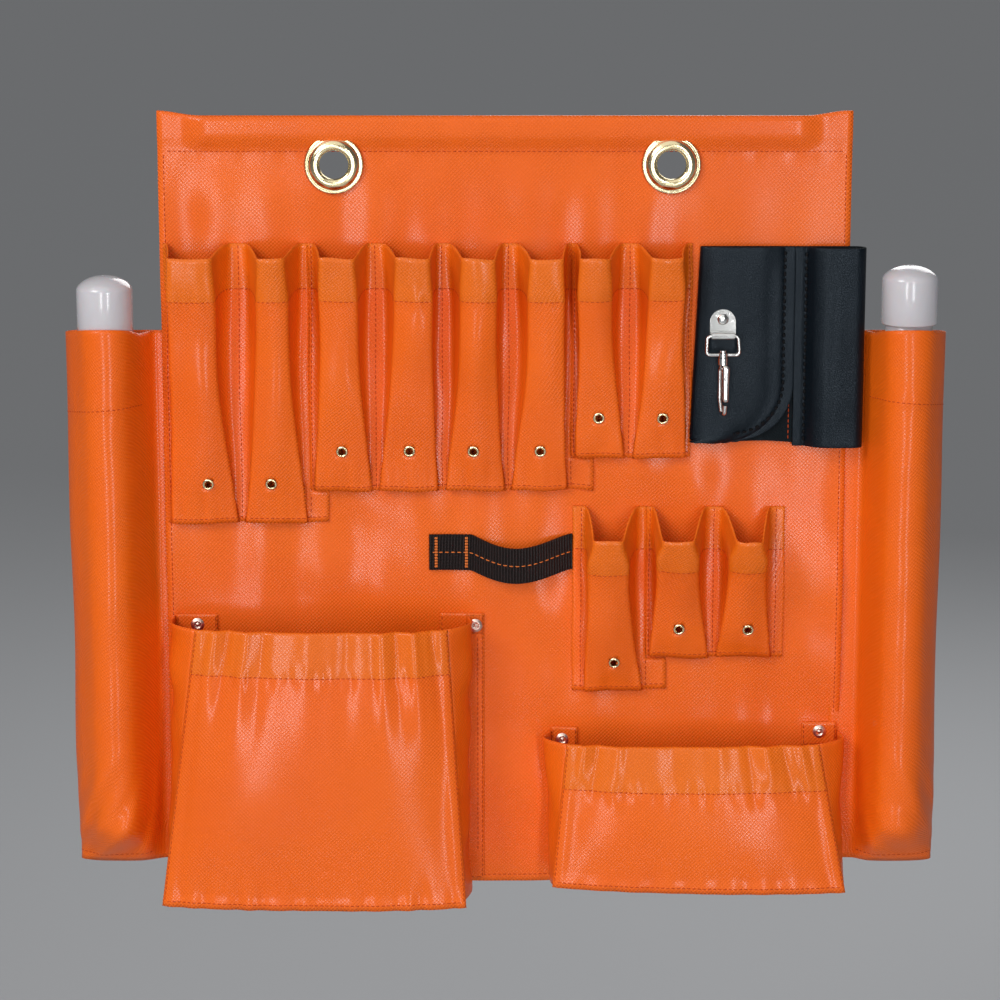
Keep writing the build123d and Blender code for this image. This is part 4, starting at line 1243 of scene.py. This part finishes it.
def build_side_pocket(side):
    """A tall flat-backed pocket round its tube, crumpled near its foot, with a stitched mouth hem."""
    low, high = box_of(f"{side}_side_pocket")
    bottom, top = low[2] / MM, high[2] / MM
    look = bpy.context.scene.apron_sides
    hem_outer, hem_inner = SIDES[side]["hem"]
    rows = spaced([bottom, bottom + 4.0, hem_outer, top], look.step / MM)
    seed = 40 + SIDES[side]["sign"]
    grid = []
    for z in rows:
        section = side_section(side, z)
        x, h = section[:, 0], section[:, 1]
        share = np.linspace(0, 1, len(x))
        standing = smooth(0.12, 0.22, share) * (1 - smooth(0.58, 0.66, share))
        low_down = 1 - smooth(-455.0, -400.0, z)
        slack = 0.5 + 0.5 * waves(share * 0.2, z * MM * 0.5, seed, 0.11)
        diagonal = waves(share * 0.22 + z * MM * 0.8, z * MM * 0.2, seed + 1, 0.035) * 2.6 * low_down
        pull = waves(share * 0.1, z * MM, seed + 2, 0.045) * 0.5
        foot = min(1.0, max(0.0, (z - bottom) / 12.0))
        out = standing * (slack + diagonal * foot + pull * (z > -450) + 0.3)
        hem_z = hem_outer + (hem_inner - hem_outer) * share
        in_hem = smooth(-1.0, 1.2, z - hem_z)
        pucker = 0.3 * waves(share * 0.6, z * MM * 0.4, seed + 3, 0.025) * hump(0, 7, z - hem_z)
        edge_wave = 0.8 * float(waves(z * MM, 0.0, seed + 4, 0.16))
        wobble = smooth(0.35, 0.6, share) * (1 - smooth(0.7, 0.95, share)) * edge_wave
        sag = (MOUTH_TILT * h - 1.0) * standing * float(smooth(top - 90, top - 10, z))
        grid.append(np.stack([(x + SIDES[side]["sign"] * wobble) * MM,
                              -(h + out + standing * (in_hem * 0.5 + pucker)) * MM, (z + sag) * MM], axis=1))
    grid = np.array(grid)
    grid[..., 1] = np.where(np.abs(grid[..., 0]) < 0.2415, np.maximum(grid[..., 1], 0.8 * MM), grid[..., 1])
    piece = cloth_piece(f"{side}_side_pocket_cloth", grid, vinyl(), CLOTH)
    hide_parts(f"{side}_side_pocket")
    span = (len(rows) - 1) / (top - bottom)
    cols = SIDE_COLS - 1
    hem_line = grid_line(
        grid, ((hem_inner - bottom) * span, cols * 0.14), ((hem_outer - bottom) * span, cols * 0.6), 60
    )
    outer_col = int(np.argmax(np.abs(grid[5, :, 0])))
    lines = [hem_line, grid_line(grid, (2, cols * 0.14), (2, outer_col - 2), 40)]
    sewn = stitch_rows(f"{side}_side_pocket_stitches", lines)


# ---------------------------------------------------------------- tubes and caps


TUBE_WALL = 2 * MM
TUBE_EDGE = 0.5 * MM
# A hair off the axis, so that turned faces keep a size there.
AXIS = 0.01 * MM


def centre_of(node):
    """A node's middle and its lowest and highest corners."""
    low, high = box_of(node)
    return (low + high) / 2, low, high


def build_tube(side):
    """A pipe with softened rims and the plug in its foot."""
    body = f"{side}_tube_body"
    r = TUBE_EDGE
    centre, low, high = centre_of(f"{side}_tube")
    foot, rim = low[2], high[2]
    outer = (high[0] - low[0]) / 2
    inner = outer - TUBE_WALL
    profile = [
        (inner, foot + r), (inner + r, foot), (outer - r, foot), (outer, foot + r),
        (outer, rim - r), (outer - r, rim), (inner + r, rim), (inner, rim - r), (inner, foot + r),
    ]
    pipe = spin_up(f"{side}_tube_pipe", profile, centre, white_plastic(), body)
    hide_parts(f"{side}_tube")
    centre, low, high = centre_of(f"{side}_tube_plug")
    foot, rim = low[2], high[2]
    radius = (high[0] - low[0]) / 2
    profile = [
        (AXIS, foot), (radius - r, foot), (radius, foot + r),
        (radius, rim - r), (radius - r, rim), (AXIS, rim),
    ]
    plug = spin_up(f"{side}_tube_foot", profile, centre, white_plastic(), body)
    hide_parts(f"{side}_tube_plug")


CAP_PROFILE = (
    (16.4, 0.6), (16.9, 0.0), (18.6, 0.0), (19.2, 0.7), (19.2, 29.6), (19.05, 31.0), (18.5, 32.4),
    (17.4, 33.9), (15.6, 35.5), (13.0, 37.2), (10.0, 38.5), (6.5, 39.5), (3.0, 39.9), (0.01, 40.0),
)
CAP_INSIDE = ((0.01, 37.0), (9.0, 36.2), (13.3, 31.6), (16.4, 31.0), (16.4, 0.6))


def build_cap(side):
    """A push-on cap: a domed cup with a socket for the tube."""
    centre, low, _ = centre_of(f"{side}_tube_cap")
    profile = [(r * MM, low[2] + z * MM) for r, z in CAP_PROFILE + CAP_INSIDE]
    cap = spin_up(f"{side}_cap_dome", profile, centre, white_plastic(), f"{side}_cap_body")
    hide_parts(f"{side}_tube_cap")


# ---------------------------------------------------------------- leather

LEATHER = 2.5 * MM
HALF_LEATHER = LEATHER / MM / 2
# Middle of a rear layer, in millimetres: the panel's cloth, half the leather and a little air.
LEATHER_REAR = 1.2 + HALF_LEATHER + 0.7
LEATHER_COLS = 96
FLAP_R = 42.0
BLACK_SEAM_INSET = 7.0
SHEATH_SLOPE = 3.2
LOOP_CLOSE = 1.8
SHEATH_FOOT = 2


def leather_piece(name, grid, node):
    """Folded leather with its napped side and its bevelled cut edges showing."""
    piece = cloth_piece(name, grid, black_leather(), LEATHER)
    piece.data.materials.append(leather_back())
    shell = piece.modifiers["Thickness"]
    shell.material_offset = 1
    shell.material_offset_rim = 1
    edge = piece.modifiers.new("Cut edge", "BEVEL")
    edge.width = 0.45 * MM
    edge.segments = 2
    edge.limit_method = "ANGLE"
    edge.angle_limit = math.radians(50)
    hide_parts(node)
    return piece


def sheath_edge(z, bottom, right):
    """Right edge of the sheath's front layer at height z, rounded at its lower corner."""
    centre_z, centre_x = bottom + SHEATH_FOOT + FLAP_R, right - FLAP_R
    if z >= centre_z:
        return right
    return centre_x + math.sqrt(max(0.0, FLAP_R**2 - (centre_z - z) ** 2))


def build_sheath():
    """The knife sheath: one hide folded at its left, with the front pressed to the back by a seam."""
    low, high = box_of("knife_sheath")
    left, right, bottom, top = low[0] / MM, high[0] / MM, low[2] / MM, high[2] / MM
    face = -low[1] / MM - HALF_LEATHER
    rear = LEATHER_REAR
    radius = (face - rear) / 2 - SHEATH_SLOPE / 2
    mid = (face + rear) / 2 - SHEATH_SLOPE / 2
    fold_x = left + HALF_LEATHER + radius
    turn = [(fold_x - radius * math.sin(a), mid - radius * math.cos(a)) for a in np.linspace(0, math.pi, 9)]
    back = [(right, rear), (fold_x + 2, rear)]
    pressed = rear + LEATHER / MM + 0.15
    rows = spaced([bottom + 2.2, top], bpy.context.scene.apron_leather.step / MM)
    grid = []
    for z in rows:
        edge = sheath_edge(z, bottom, right)
        opening = 2.0 * float(smooth(top - 30, top, z))
        span = edge - left
        seam = max(edge - BLACK_SEAM_INSET, left + span * 0.55)
        shoulder, brink = max(left + span * 0.55, edge - 24), max(left + span * 0.62, edge - 16)
        front = [
            (left + span * 0.11, face - 1.7), (left + span * 0.17, face - 0.8),
            (left + span * 0.24, face - 0.2), (left + span * 0.34, face), (left + span * 0.44, face - 0.3),
            (shoulder, face - 1.3 + opening * 0.5), (brink, face - 2.9 + opening * 0.6),
            (seam - 2.2, pressed + 1.0), (seam, pressed - 0.5), (seam + 1.6, pressed + 0.15), (edge, pressed),
        ]
        line = resampled(rounded([*back, *turn, *front]), LEATHER_COLS)
        warp = 0.25 * waves(line[:, 0] * MM, np.full(len(line), z) * MM, 61, 0.05) - 0.25
        rise = (z - bottom) / (top - bottom)
        lean = (6.4 * rise - 2.2) * (1 - smooth(0.0, 0.8, (line[:, 0] - left) / (right - left)))
        hang = 0.9 * waves(line[:, 0] * MM, line[:, 0] * 0, 62, 0.05) * (1 - smooth(0, 0.2, rise))
        depth = line[:, 1] + warp * (line[:, 1] > rear + 1)
        grid.append(np.stack([(line[:, 0] + lean) * MM, -depth * MM, (z + hang) * MM], axis=1))
    grid = np.array(grid)
    piece = leather_piece("knife_sheath_leather", grid, "knife_sheath")
    centre_x, centre_z = right - FLAP_R, bottom + SHEATH_FOOT + FLAP_R
    inner = FLAP_R - BLACK_SEAM_INSET
    seam_line = []
    for z in np.linspace(bottom + 4.5, top - 2, 90):
        drop = centre_z - z
        if drop > inner:
            continue
        x = right - BLACK_SEAM_INSET if drop < 0 else centre_x + math.sqrt(max(0.0, inner**2 - drop**2))
        seam_line.append(surface_spot(grid, x * MM, z * MM))
    for x in np.linspace(centre_x, left + 30.0, 20):
        seam_line.insert(0, surface_spot(grid, x * MM, (bottom + SHEATH_FOOT + BLACK_SEAM_INSET) * MM))
    black = black_stitches("sheath_black_stitches", seam_line)
    rear_x, rear_y = (right - 2.6) * MM, -(rear + HALF_LEATHER + 0.1) * MM
    heights = np.linspace(bottom + 4, bottom + FLAP_R - 8, 20)
    rear_line = [(np.array((rear_x, rear_y, z * MM)), OUTWARD) for z in heights]
    orange = stitch_rows("sheath_orange_stitches", [rear_line], 0.0)


def black_stitches(name, line):
    """Heavy black thread that stands out from the leather."""
    return stitches(name, [line], dark_thread(), *BLACK_THREAD, slot="black_leather", lift=1.0 * MM)


def surface_spot(grid, x, z):
    """The foremost point of a grid near x, z and the way it faces."""
    line = grid[int(np.argmin(np.abs(grid[:, -1, 2] - z)))]
    half = len(line) // 2
    col = half + int(np.argmin(np.abs(line[half:, 0] - x)))
    return np.array((x, line[col, 1] - LEATHER / 2, z)), OUTWARD


def build_tool_loop():
    """A folded leather loop, sewn down along one edge and open at both ends."""
    low, high = box_of("leather_tool_loop")
    left, right, bottom, top = low[0] / MM - LOOP_CLOSE, high[0] / MM, low[2] / MM, high[2] / MM
    half, rear = HALF_LEATHER, LEATHER_REAR
    deep = -low[1] / MM - half
    radius, mid = (deep - rear) / 2, (deep + rear) / 2
    fold_x = right - half - radius
    turn = [(fold_x + radius * math.sin(a), mid - radius * math.cos(a)) for a in np.linspace(0, math.pi, 11)]
    back = [(left, rear), (fold_x - 1, rear)]
    joint = rear + half * 2
    grid = []
    for z in spaced([bottom, top], bpy.context.scene.apron_leather.step / MM):
        flex = 0.9 * math.sin((z - bottom) / (top - bottom) * math.pi)
        front = [
            (left + 24, deep + flex + 0.6), (left + 15, deep - 2.6 + flex), (left + 10, joint + 1.6),
            (left + 7.6, joint - 0.5), (left + 5, joint + 0.6), (left, joint + 0.1),
        ]
        line = resampled(rounded([*back, *turn, *front]), LEATHER_COLS)
        warp = 0.4 * waves(line[:, 0] * MM, np.full(len(line), z) * MM, 77, 0.06)
        depth = line[:, 1] + warp * (line[:, 1] > rear + 1)
        grid.append(np.stack([line[:, 0] * MM, -depth * MM, np.full(len(line), z * MM)], axis=1))
    grid = np.array(grid)
    piece = leather_piece("tool_loop_leather", grid[:, ::-1], "leather_tool_loop")
    seam = [surface_spot(grid, (left + 7.6) * MM, z * MM) for z in np.linspace(bottom + 3, top - 3, 80)]
    black_stitches("tool_loop_stitches", seam)


# ---------------------------------------------------------------- webbing loop


WEB_FLAT_END = -22.0
WEB_TACKS = (-46.0, -25.0)
WEB_THICK = 1.5 * MM
WEB_LIFT = 0.8 * MM


def build_webbing():
    """The webbing loop: flat and tacked at its left, then standing off the panel and sagging."""
    low, high = box_of("web_loop")
    left, right = low[0] / MM, high[0] / MM
    bottom, top = low[2] / MM, high[2] / MM
    deep = -low[1] / MM - 2.2
    look = bpy.context.scene.apron_webbing
    across = spaced([left, WEB_FLAT_END, right], 1.6)
    shares = np.linspace(0, 1, 12)
    grid = []
    for s in shares:
        line = []
        for x in across:
            t = min(1.0, max(0.0, (x - WEB_FLAT_END) / (right - WEB_FLAT_END)))
            arch = math.sin(math.pi * t**0.85) ** 1.3
            z = bottom + (top - bottom) * s - look.sag / MM * arch
            resting = float(-strip_base(x * MM, z * MM)) / MM + 0.75
            lean = 2.4 * arch * (s - 0.5)
            twist = 0.5 * float(waves(x * MM, s * 0.02, 91, 0.05))
            depth = resting + (deep - resting) * arch + lean
            line.append((x * MM, -(depth + twist * arch) * MM, z * MM))
        grid.append(line)
    grid = np.array(grid)
    strap = cloth_piece("webbing_loop_strap", grid, webbing(), WEB_THICK)
    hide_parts("web_loop")
    rows = len(shares) - 1
    cols = len(across) - 1
    tacks = []
    for x in WEB_TACKS:
        c = float(np.argmin(np.abs(across - x)))
        tacks += [grid_line(grid, (0.7, c + shift), (rows - 0.7, c + shift), 30) for shift in (-0.3, 0.3)]
    tacks = [lifted(line, WEB_LIFT) for line in tacks]
    tacked = stitches("webbing_bar_tacks", tacks, bright_thread(), *TACK_THREAD)
    middle = grid_line(grid, (rows / 2, 1.0), (rows / 2, cols - 0.5), 90)
    sewn = stitches("webbing_loop_stitches", [lifted(middle, WEB_LIFT)], bright_thread(), *WEB_THREAD)


# ---------------------------------------------------------------- metal hardware

GROMMET_PROUD = 1.3
GROMMET_SHAPE = (
    (10.0, 1.8), (9.9, -3.8), (10.1, -4.6), (10.7, -5.3), (11.7, -5.75), (12.9, -5.9), (14.1, -5.8),
    (15.3, -5.3), (16.3, -4.5), (16.9, -3.75), (17.4, -3.25), (18.0, -3.2), (18.9, -3.4), (19.7, -3.25),
    (20.3, -2.7), (20.1, -2.2), (11.0, -2.2), (10.9, 0.8), (14.0, 1.0), (14.3, 1.5), (13.9, 2.0),
    (12.2, 2.4), (10.9, 2.35),
)
GROMMET_WASHER = ((10.95, 0.05), (17.6, 0.05), (18.0, 0.4), (17.5, 0.8), (15.0, 1.1), (10.95, 1.1))
RIVET_SPOTS = ((-215.0, -324.2), (-19.0, -324.2), (42.5, -408.5), (225.0, -403.0))
RIVET_SINK = 0.4 * MM
RIVET_SHAPE = (
    (0.02, -3.5), (0.9, -3.4), (1.4, -2.8), (1.9, -2.8), (2.3, -3.8), (2.9, -3.9), (3.4, -3.4), (4.5, -3.1),
    (5.0, -2.7), (4.9, -2.3), (1.5, -2.3),
    (1.5, 0.9), (2.4, 0.9), (2.3, 1.4), (1.4, 1.65), (0.02, 1.7),
)
RIVET_WASHER = ((1.6, 0.02), (4.3, 0.02), (4.5, 0.25), (4.3, 0.5), (1.6, 0.8))


def build_grommets():
    """The two brass hanging grommets and the washers behind them."""
    centres = [np.array((c[0], 0.0, c[2])) for c in grommet_places()]
    forward = np.array(mm(0.0, -GROMMET_PROUD, 0.0))
    fronts = [(c + forward, 0.0) for c in centres]
    rings = lathe("brass_grommets", [mm(*spot) for spot in GROMMET_SHAPE], fronts, brass(), turns=96)
    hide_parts("grommet_left", "grommet_right")
    washer = [mm(*spot) for spot in GROMMET_WASHER]
    backs = lathe("brass_grommet_washers", washer, [(c, 0.0) for c in centres], brass(), turns=72)
    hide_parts("grommet_washer_left", "grommet_washer_right")


def build_rivets():
    """The pouches' corner rivets, set on the panel where it waves, and the washers behind them."""
    places = []
    for x, z in (mm(*spot) for spot in RIVET_SPOTS):
        places.append((np.array((x, -float(panel_wave(x, z)) - RIVET_SINK, z)), 0.0))
    heads = lathe("copper_rivets", [mm(*spot) for spot in RIVET_SHAPE], places, copper(),
                  turns=36, closed=False)
    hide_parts("pouch_rivets")
    washer = [mm(*spot) for spot in RIVET_WASHER]
    rings = lathe("copper_rivet_washers", washer, places, copper(), turns=36)
    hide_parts("pouch_rivet_washers")


SNAP_NODES = ("hook_plate", "hook_rivet_washer", "hook_ring", "snap_hook", "gate_pin", "gate_spring")
GATE_HALF_WIDTH = 2.5
GATE_HALF_DEPTH = 2.6
GATE_SIDES = 28
GATE_ROUND = 0.08


def dress_snap():
    """Plates the swivel snap and its parts, and rebuilds the plate's rivet head and the gate."""
    for name in SNAP_NODES:
        dress(name, nickel())
    middle, low, high = centre_of("hook_rivet")
    radius = (high[0] - low[0]) / 2
    face, foot = low[1], high[1]
    dome = ((0.4, 0.12), (0.72, 0.65), (0.93, 1.4), (1.0, 2.2), (1.0, 2.6), (0.4, 2.6))
    rim = [(radius * r, face + y * MM) for r, y in dome]
    profile = [(AXIS, face), *rim, (radius * 0.4, foot), (AXIS, foot)]
    place = (np.array((middle[0], 0.0, middle[2])), 0.0)
    head = lathe("hook_rivet_head", profile, [place], nickel(), closed=False)
    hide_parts("hook_rivet")
    build_gate()


def build_gate():
    """The snap's spring gate: a folded, rounded lever narrowing toward its nose."""
    middle, low, high = centre_of("snap_gate")
    verts = []
    heights = np.linspace(high[2], low[2], 26)
    for z in heights:
        t = (high[2] - z) / (high[2] - low[2])
        near = min(1.0, min(t, 1 - t) / GATE_ROUND)
        ends = min(1.0, math.sqrt(max(0.0, 1 - (1 - near) ** 2)) + 0.02)
        wide = GATE_HALF_WIDTH * (1.12 - 0.3 * t) * ends
        deep = GATE_HALF_DEPTH * (1.0 - 0.25 * t) * ends
        for k in range(GATE_SIDES):
            angle = 2 * math.pi * k / GATE_SIDES
            c, a = math.cos(angle), math.sin(angle)
            verts.append((middle[0] + 0.5 * MM + wide * MM * math.copysign(abs(c) ** 0.8, c),
                          middle[1] + deep * MM * math.copysign(abs(a) ** 0.8, a), z))
    faces = grid_faces(len(heights), GATE_SIDES, closed=True)
    faces += [tuple(range(GATE_SIDES)), tuple(range(len(verts) - GATE_SIDES, len(verts)))]
    lever = new_object("snap_gate_lever", verts, faces, nickel(), "gate")
    tidy_mesh(lever)
    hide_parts("snap_gate")


def dress(name, material):
    """Gives a CAD node that stays shown its finish."""
    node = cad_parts[name]
    node.data.materials.clear()
    node.data.materials.append(material)
    node.data.polygons.foreach_set("material_index", [0] * len(node.data.polygons))


def dress_batten():
    """Plain plastic for the flat bar in the top hem."""
    dress("hem_batten", once("batten_plastic_face", plastic_material, (0.5, 0.5, 0.48, 1), 0.4, 0.0001))


# ---------------------------------------------------------------- stage

LOOK_AT = Vector((-0.00185, 0.0, -0.235))
CAMERA_DISTANCE = 2.2
CAMERA_RISE = 12.0
LENS = 113.14
FLOOR_DROP = 0.58
FLOOR_REACH = 80.0


def stage_piece(name, data):
    """Adds a light or the floor, which aren't part of the object."""
    holder = bpy.data.objects.new(name, data)
    bpy.context.scene.collection.objects.link(holder)
    return holder


def soft_light(name, place, size, power, colour):
    """A rectangular light aimed at the apron."""
    lamp = bpy.data.lights.new(name, "AREA")
    lamp.shape = "RECTANGLE"
    lamp.size, lamp.size_y = size
    lamp.energy = power
    lamp.color = colour
    holder = stage_piece(name, lamp)
    holder.location = place
    holder.rotation_euler = (LOOK_AT - Vector(place)).to_track_quat("-Z", "Y").to_euler()


def build_floor(look):
    """A wide plain floor below the hanging apron."""
    floor_z = CAD_LOW[2] - FLOOR_DROP
    corners = [(x * FLOOR_REACH, y * FLOOR_REACH, floor_z) for x, y in ((-1, -1), (1, -1), (1, 1), (-1, 1))]
    mesh = bpy.data.meshes.new("studio_floor")
    mesh.from_pydata(corners, [], [(0, 1, 2, 3)])
    material, _, shader = blank_material("studio_floor_paint", Roughness=0.85)
    shader.inputs["Base Color"].default_value = look.floor[:]
    mesh.materials.append(material)
    stage_piece("studio_floor", mesh)


def build_lights(look):
    """Even air, a soft box and two tall strips in front, one light behind and one above."""
    world = bpy.data.worlds.new("studio_air")
    world.use_nodes = True
    air = world.node_tree.nodes["Background"]
    air.inputs["Color"].default_value = (0.86, 0.87, 0.89, 1)
    air.inputs["Strength"].default_value = look.air
    bpy.context.scene.world = world
    bpy.context.scene.view_settings.view_transform = "Standard"
    soft_light("front_left_softbox", (-1.5, -1.6, 1.2), (0.9, 1.0), look.key, (1.0, 0.98, 0.96))
    soft_light("left_strip", (-0.55, -2.4, -0.1), (0.32, 1.7), look.strips, (1.0, 0.99, 0.98))
    soft_light("right_strip", (0.62, -2.4, -0.15), (0.26, 1.7), look.strips, (0.98, 0.99, 1.0))
    soft_light("rear_softbox", (0.8, 2.4, 1.2), (1.8, 1.6), look.fill, (1.0, 1.0, 1.0))
    sky = bpy.data.lights.new("ceiling_bounce", "SUN")
    sky.energy = look.top
    sky.angle = math.radians(70)
    ceiling = stage_piece("ceiling_bounce", sky)
    ceiling.rotation_euler = (math.radians(38), 0.0, math.radians(-24))


def build_camera():
    """A camera a little above the apron's middle, looking down at it."""
    view = bpy.data.cameras.new("catalogue_camera")
    view.lens = LENS
    view.sensor_width = 36.0
    view.dof.use_dof = False
    camera = bpy.data.objects.new("catalogue_camera", view)
    rise = math.radians(CAMERA_RISE)
    camera.location = LOOK_AT + Vector((0, -math.cos(rise), math.sin(rise))) * CAMERA_DISTANCE
    camera.rotation_euler = (math.pi / 2 - rise, 0.0, 0.0)
    bpy.context.scene.collection.objects.link(camera)
    bpy.context.scene.camera = camera


# ---------------------------------------------------------------- settings


def colour_setting(name, value, description):
    return bpy.props.FloatVectorProperty(
        name=name, description=description, subtype="COLOR", size=4, min=0.0, max=1.0, default=value
    )


def number_setting(name, value, description, **kind):
    return bpy.props.FloatProperty(name=name, description=description, default=value, **kind)


def length_setting(name, value, description):
    return number_setting(name, value, description, subtype="DISTANCE", unit="LENGTH")


class ApronCloth(bpy.types.PropertyGroup):
    """Colours and finish of the coated cloth."""

    colour: colour_setting("Cloth", (0.84, 0.132, 0.002, 1.0), "Lit tone of the coated cloth")
    shade: colour_setting("Cloth drift", (0.8, 0.112, 0.002, 1.0), "Deeper tone that drifts over the cloth")
    hem_colour: colour_setting("Hem", (0.79, 0.148, 0.002, 1.0), "Lit tone of the turned hems")
    hem_shade: colour_setting("Hem drift", (0.74, 0.126, 0.002, 1.0), "Deeper tone that drifts over the hems")
    thread_colour: colour_setting("Thread", (0.62, 0.075, 0.012, 1.0), "Colour of the sewing thread")
    weave_depth: length_setting("Weave depth", 0.0002, "Height of the weave that shows through the coating")
    roughness: number_setting("Roughness", 0.5, "Roughness of the coating")


class ApronPanel(bpy.types.PropertyGroup):
    """Sizes of the hanging panel."""

    step: length_setting("Grid step", 0.004, "Spacing of the panel's mesh")


class ApronPockets(bpy.types.PropertyGroup):
    """Sizes of the tool pockets."""

    step: length_setting("Grid step", 0.0032, "Spacing of the pocket mesh")
    slack: length_setting("Slack", 0.0014, "Depth of the soft ripples in a pocket's front")


class ApronPouches(bpy.types.PropertyGroup):
    """Sizes of the wide pouches."""

    step: length_setting("Grid step", 0.003, "Spacing of the pouch mesh")


class ApronSides(bpy.types.PropertyGroup):
    """Sizes of the side pockets."""

    step: length_setting("Grid step", 0.003, "Spacing of the side pocket mesh")


class ApronLeather(bpy.types.PropertyGroup):
    """Leather colours and mesh."""

    face: colour_setting("Grain side", (0.0015, 0.0035, 0.006, 1.0), "Finished side of the leather")
    nap: colour_setting("Flesh side", (0.008, 0.011, 0.013, 1.0), "Napped side of the leather")
    roughness: number_setting("Roughness", 0.33, "Roughness of the grain side")
    step: length_setting("Grid step", 0.003, "Spacing of the leather mesh")


class ApronWebbing(bpy.types.PropertyGroup):
    """The webbing loop."""

    colour: colour_setting("Webbing", (0.009, 0.006, 0.006, 1.0), "Dyed webbing")
    sag: length_setting("Sag", 0.008, "How far the loop hangs down at its middle")


class ApronHardware(bpy.types.PropertyGroup):
    """Metal and plastic colours."""

    brass: colour_setting("Brass", (0.93, 0.8, 0.5, 1.0), "Grommets and eyelets")
    copper: colour_setting("Copper", (0.92, 0.7, 0.6, 1.0), "Pouch rivets")
    nickel: colour_setting("Nickel", (0.8, 0.8, 0.78, 1.0), "Snap and its plate")
    plastic: colour_setting("Plastic", (0.6, 0.58, 0.61, 1.0), "Tubes and caps")


class ApronStage(bpy.types.PropertyGroup):
    """Floor and lights."""

    floor: colour_setting("Floor", (0.44, 0.45, 0.465, 1.0), "Plain pale floor")
    air: number_setting("Air", 0.125, "Strength of the even light")
    key: number_setting("Key", 20.0, "Power of the front left light", subtype="POWER")
    strips: number_setting("Strips", 16.0, "Power of each strip light", subtype="POWER")
    fill: number_setting("Fill", 30.0, "Power of the rear light", subtype="POWER")
    top: number_setting("Ceiling", 0.85, "Strength of the light from above")


# ---------------------------------------------------------------- operators


class APRON_OT_panel(bpy.types.Operator):
    """Builds the hanging panel with its rolled hem"""

    bl_idname = "apron.panel"
    bl_label = "Panel"

    def execute(self, context):
        build_panel()
        dress_batten()
        return {"FINISHED"}


class APRON_OT_tool_pockets(bpy.types.Operator):
    """Builds the two rows of pleated tool pockets and their drain eyelets"""

    bl_idname = "apron.tool_pockets"
    bl_label = "Tool pockets"

    def execute(self, context):
        places = {name: build_strip(name) for name in STRIPS}
        for row in ("top", "lower"):
            spots = [spot for name, found in places.items() if name.startswith(row) for spot in found]
            build_eyelets(f"brass_eyelets_{row}", f"drain_eyelets_{row}", spots)
        return {"FINISHED"}


class APRON_OT_pouches(bpy.types.Operator):
    """Builds the two wide pouches with their gussets and elastic"""

    bl_idname = "apron.pouches"
    bl_label = "Wide pouches"

    def execute(self, context):
        for name in POUCHES:
            build_pouch(name)
        return {"FINISHED"}


class APRON_OT_side_pockets(bpy.types.Operator):
    """Builds the two tall side pockets"""

    bl_idname = "apron.side_pockets"
    bl_label = "Side pockets"

    def execute(self, context):
        for side in SIDES:
            build_side_pocket(side)
        return {"FINISHED"}


class APRON_OT_tubes(bpy.types.Operator):
    """Builds the capped tubes"""

    bl_idname = "apron.tubes"
    bl_label = "Tubes and caps"

    def execute(self, context):
        for side in SIDES:
            build_tube(side)
            build_cap(side)
        return {"FINISHED"}


class APRON_OT_leather(bpy.types.Operator):
    """Builds the knife sheath and the tool loop"""

    bl_idname = "apron.leather"
    bl_label = "Leather"

    def execute(self, context):
        build_sheath()
        build_tool_loop()
        return {"FINISHED"}


class APRON_OT_webbing(bpy.types.Operator):
    """Builds the webbing loop"""

    bl_idname = "apron.webbing"
    bl_label = "Webbing loop"

    def execute(self, context):
        build_webbing()
        return {"FINISHED"}


class APRON_OT_hardware(bpy.types.Operator):
    """Builds the grommets and rivets and finishes the swivel snap"""

    bl_idname = "apron.hardware"
    bl_label = "Hardware"

    def execute(self, context):
        build_grommets()
        build_rivets()
        dress_snap()
        return {"FINISHED"}


class APRON_OT_stage(bpy.types.Operator):
    """Lays the floor, sets the lights and places the camera"""

    bl_idname = "apron.stage"
    bl_label = "Stage"

    def execute(self, context):
        look = context.scene.apron_stage
        build_floor(look)
        build_lights(look)
        build_camera()
        return {"FINISHED"}


SETTINGS = {
    "apron_cloth": ApronCloth,
    "apron_panel": ApronPanel,
    "apron_pockets": ApronPockets,
    "apron_pouches": ApronPouches,
    "apron_sides": ApronSides,
    "apron_leather": ApronLeather,
    "apron_webbing": ApronWebbing,
    "apron_hardware": ApronHardware,
    "apron_stage": ApronStage,
}
OPERATORS = (
    APRON_OT_panel,
    APRON_OT_tool_pockets,
    APRON_OT_pouches,
    APRON_OT_side_pockets,
    APRON_OT_tubes,
    APRON_OT_leather,
    APRON_OT_webbing,
    APRON_OT_hardware,
    APRON_OT_stage,
)


class APRON_PT_parts(bpy.types.Panel):
    """Lists the apron's settings and builders"""

    bl_label = "Hanging tool apron"
    bl_idname = "APRON_PT_parts"
    bl_space_type = "VIEW_3D"
    bl_region_type = "UI"
    bl_category = "Apron"

    def draw(self, context):
        for key, group in SETTINGS.items():
            box = self.layout.box()
            for setting in group.__annotations__:
                box.prop(getattr(context.scene, key), setting)
        for operator in OPERATORS:
            self.layout.operator(operator.bl_idname)


def register():
    for kind in (*SETTINGS.values(), *OPERATORS, APRON_PT_parts):
        bpy.utils.register_class(kind)
    for key, group in SETTINGS.items():
        setattr(bpy.types.Scene, key, bpy.props.PointerProperty(type=group))


def unregister():
    for key in SETTINGS:
        delattr(bpy.types.Scene, key)
    for kind in (APRON_PT_parts, *reversed(OPERATORS), *reversed(tuple(SETTINGS.values()))):
        bpy.utils.unregister_class(kind)


def main():
    register()
    for operator in OPERATORS:
        group, name = operator.bl_idname.split(".")
        getattr(getattr(bpy.ops, group), name)()


if __name__ == "__main__":
    main()
